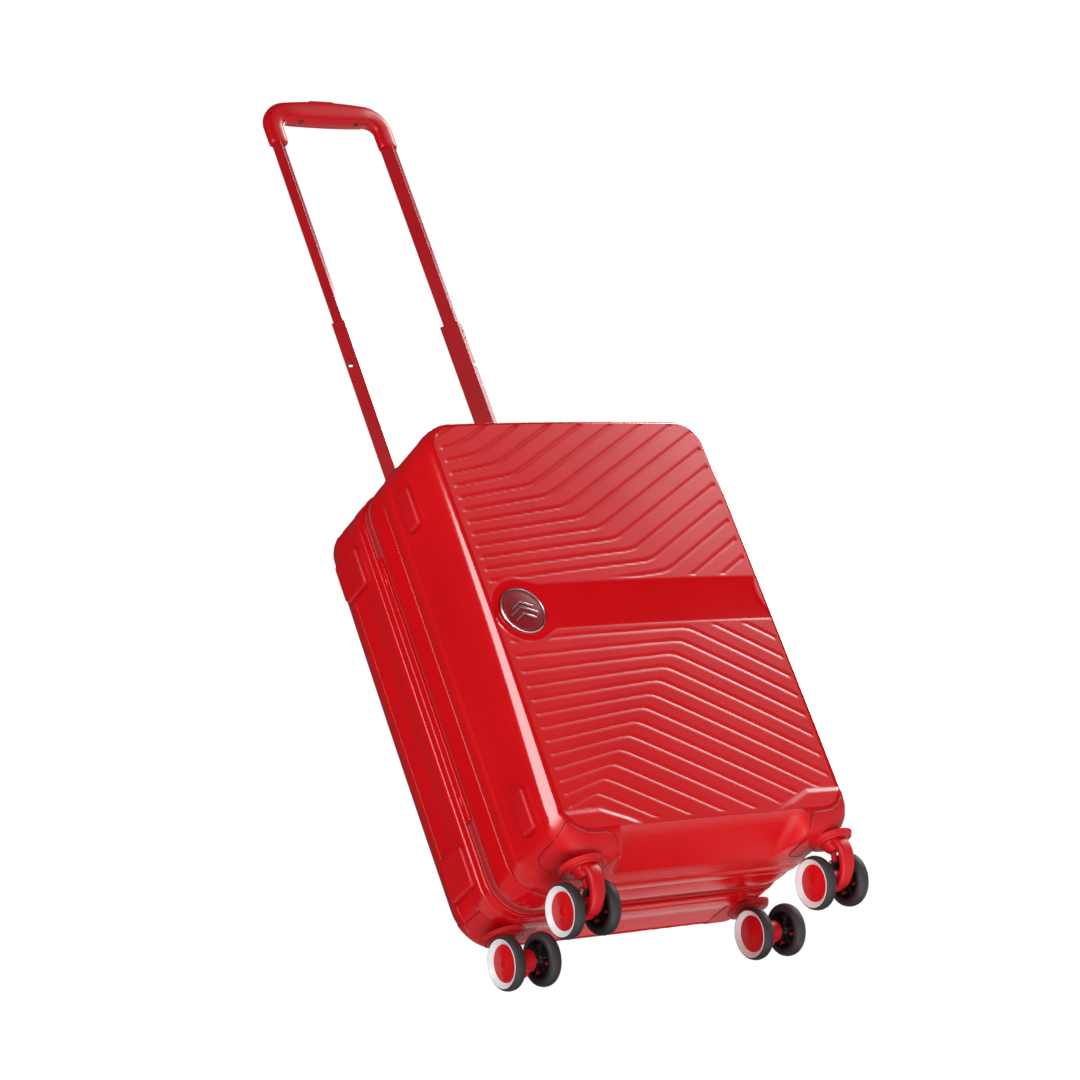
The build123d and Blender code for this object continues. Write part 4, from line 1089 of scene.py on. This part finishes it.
class SUITCASE_OT_stage(bpy.types.Operator):
    """Pale floor, soft lights, white surround and the camera"""

    bl_idname = "suitcase.stage"
    bl_label = "Stage"

    @staticmethod
    def area(name, place, aim, size, size_y, power, shape="RECTANGLE"):
        """Soft light, rectangular or elliptical, that looks from its place at a point."""
        data = bpy.data.lights.new(name, "AREA")
        data.shape, data.size, data.size_y, data.energy = shape, size, size_y, power
        lamp = bpy.data.objects.new(name, data)
        lamp.location = place
        lamp.rotation_euler = (Vector(aim) - Vector(place)).to_track_quat("-Z", "Y").to_euler()
        bpy.context.scene.collection.objects.link(lamp)

    def execute(self, context):
        scene = context.scene
        span = scene.suitcase_sizes.floor_span / 2
        mesh = bpy.data.meshes.new("floor")
        mesh.from_pydata([(x, y, FLOOR_LEVEL) for x,
                          y in ((-span, -span), (span, -span), (span, span), (-span, span))],
                         [], [(0, 1, 2, 3)])
        floor = bpy.data.objects.new("floor", mesh)
        scene.collection.objects.link(floor)
        material, tree, shader = node_material("floor_white")
        shader.inputs["Base Color"].default_value = (0.62, 0.62, 0.62, 1)
        shader.inputs["Roughness"].default_value = 0.75
        # Seen from below the floor is clear, and the lamp below it lights the underside through it.
        facing = add_node(tree, "ShaderNodeNewGeometry")
        ray = add_node(tree, "ShaderNodeLightPath")
        either = add_node(tree, "ShaderNodeMath", operation="MAXIMUM")
        link(facing, "Backfacing", either, 0)
        link(ray, "Is Shadow Ray", either, 1)
        clear = add_node(tree, "ShaderNodeBsdfTransparent")
        mix = add_node(tree, "ShaderNodeMixShader")
        link(either, 0, mix, 0)
        link(shader, 0, mix, 1)
        link(clear, 0, mix, 2)
        link(mix, 0, tree.nodes["Material Output"], "Surface")
        mesh.materials.append(material)
        world = bpy.data.worlds.new("studio")
        world.use_nodes = True
        scene.world = world
        nodes = world.node_tree.nodes
        seen = nodes["Background"]
        seen.inputs[0].default_value, seen.inputs[1].default_value = (1, 1, 1, 1), 1.0
        lit = nodes.new("ShaderNodeBackground")
        lit.inputs[0].default_value, lit.inputs[1].default_value = (1, 1, 1, 1), 0.045
        path, mix = nodes.new("ShaderNodeLightPath"), nodes.new("ShaderNodeMixShader")
        link(path, "Is Camera Ray", mix, 0)
        link(lit, 0, mix, 1)
        link(seen, 0, mix, 2)
        link(mix, 0, nodes["World Output"], "Surface")
        self.area("left_softbox", (-2.30, -1.30, 0.78), (-0.15, -0.1, 0.35), 3.6, 1.62, 66, "ELLIPSE")
        self.area("right_softbox", (2.45, -0.95, 2.3), (0.05, -0.1, 0.4), 1.3, 1.3, 80)
        self.area("low_softbox", (-0.40, -0.70, -1.50), (0.0, 0.0, 0.1), 1.6, 1.6, 24)
        self.area("back_softbox", (2.1, 1.7, 1.5), (0.05, 0.0, 0.5), 1.5, 1.5, 55)
        forward = Vector((0.57085128, 0.71340868, 0.40641958))
        up = Vector((0.02812504, -0.5116979, 0.85870498))
        right = forward.cross(up).normalized()
        up = right.cross(forward).normalized()
        data = bpy.data.cameras.new("camera")
        data.lens, data.sensor_width = 111.992, 36.0
        data.clip_end = 50.0
        camera = bpy.data.objects.new("camera", data)
        turn = Matrix((right, up, -forward)).transposed().to_4x4()
        camera.matrix_world = Matrix.Translation((-1.98939, -2.49585, -0.95133)) @ turn
        scene.collection.objects.link(camera)
        scene.camera = camera
        scene.view_settings.view_transform = "Standard"
        return {"FINISHED"}


class SUITCASE_PT_panel(bpy.types.Panel):
    """Builds the suitcase piece by piece"""

    bl_label = "Suitcase"
    bl_idname = "SUITCASE_PT_panel"
    bl_space_type = "VIEW_3D"
    bl_region_type = "UI"
    bl_category = "Suitcase"

    def draw(self, context):
        for group in (context.scene.suitcase_finish, context.scene.suitcase_sizes):
            for key in group.bl_rna.properties.keys():
                if key not in ("rna_type", "name"):
                    self.layout.prop(group, key)
        for kind in OPERATORS:
            self.layout.operator(kind.bl_idname)


OPERATORS = (SUITCASE_OT_shells, SUITCASE_OT_bands, SUITCASE_OT_badge, SUITCASE_OT_housings,
             SUITCASE_OT_casters,
             SUITCASE_OT_trolley, SUITCASE_OT_handles, SUITCASE_OT_stage)
CLASSES = (SuitcaseFinish, SuitcaseSizes) + OPERATORS + (SUITCASE_PT_panel,)


def register():
    for kind in CLASSES:
        bpy.utils.register_class(kind)
    bpy.types.Scene.suitcase_finish = PointerProperty(type=SuitcaseFinish)
    bpy.types.Scene.suitcase_sizes = PointerProperty(type=SuitcaseSizes)


def unregister():
    del bpy.types.Scene.suitcase_sizes
    del bpy.types.Scene.suitcase_finish
    for kind in reversed(CLASSES):
        bpy.utils.unregister_class(kind)


def main():
    register()
    for kind in OPERATORS:
        getattr(bpy.ops.suitcase, kind.bl_idname.split(".")[1])()


if __name__ == "__main__":
    main()
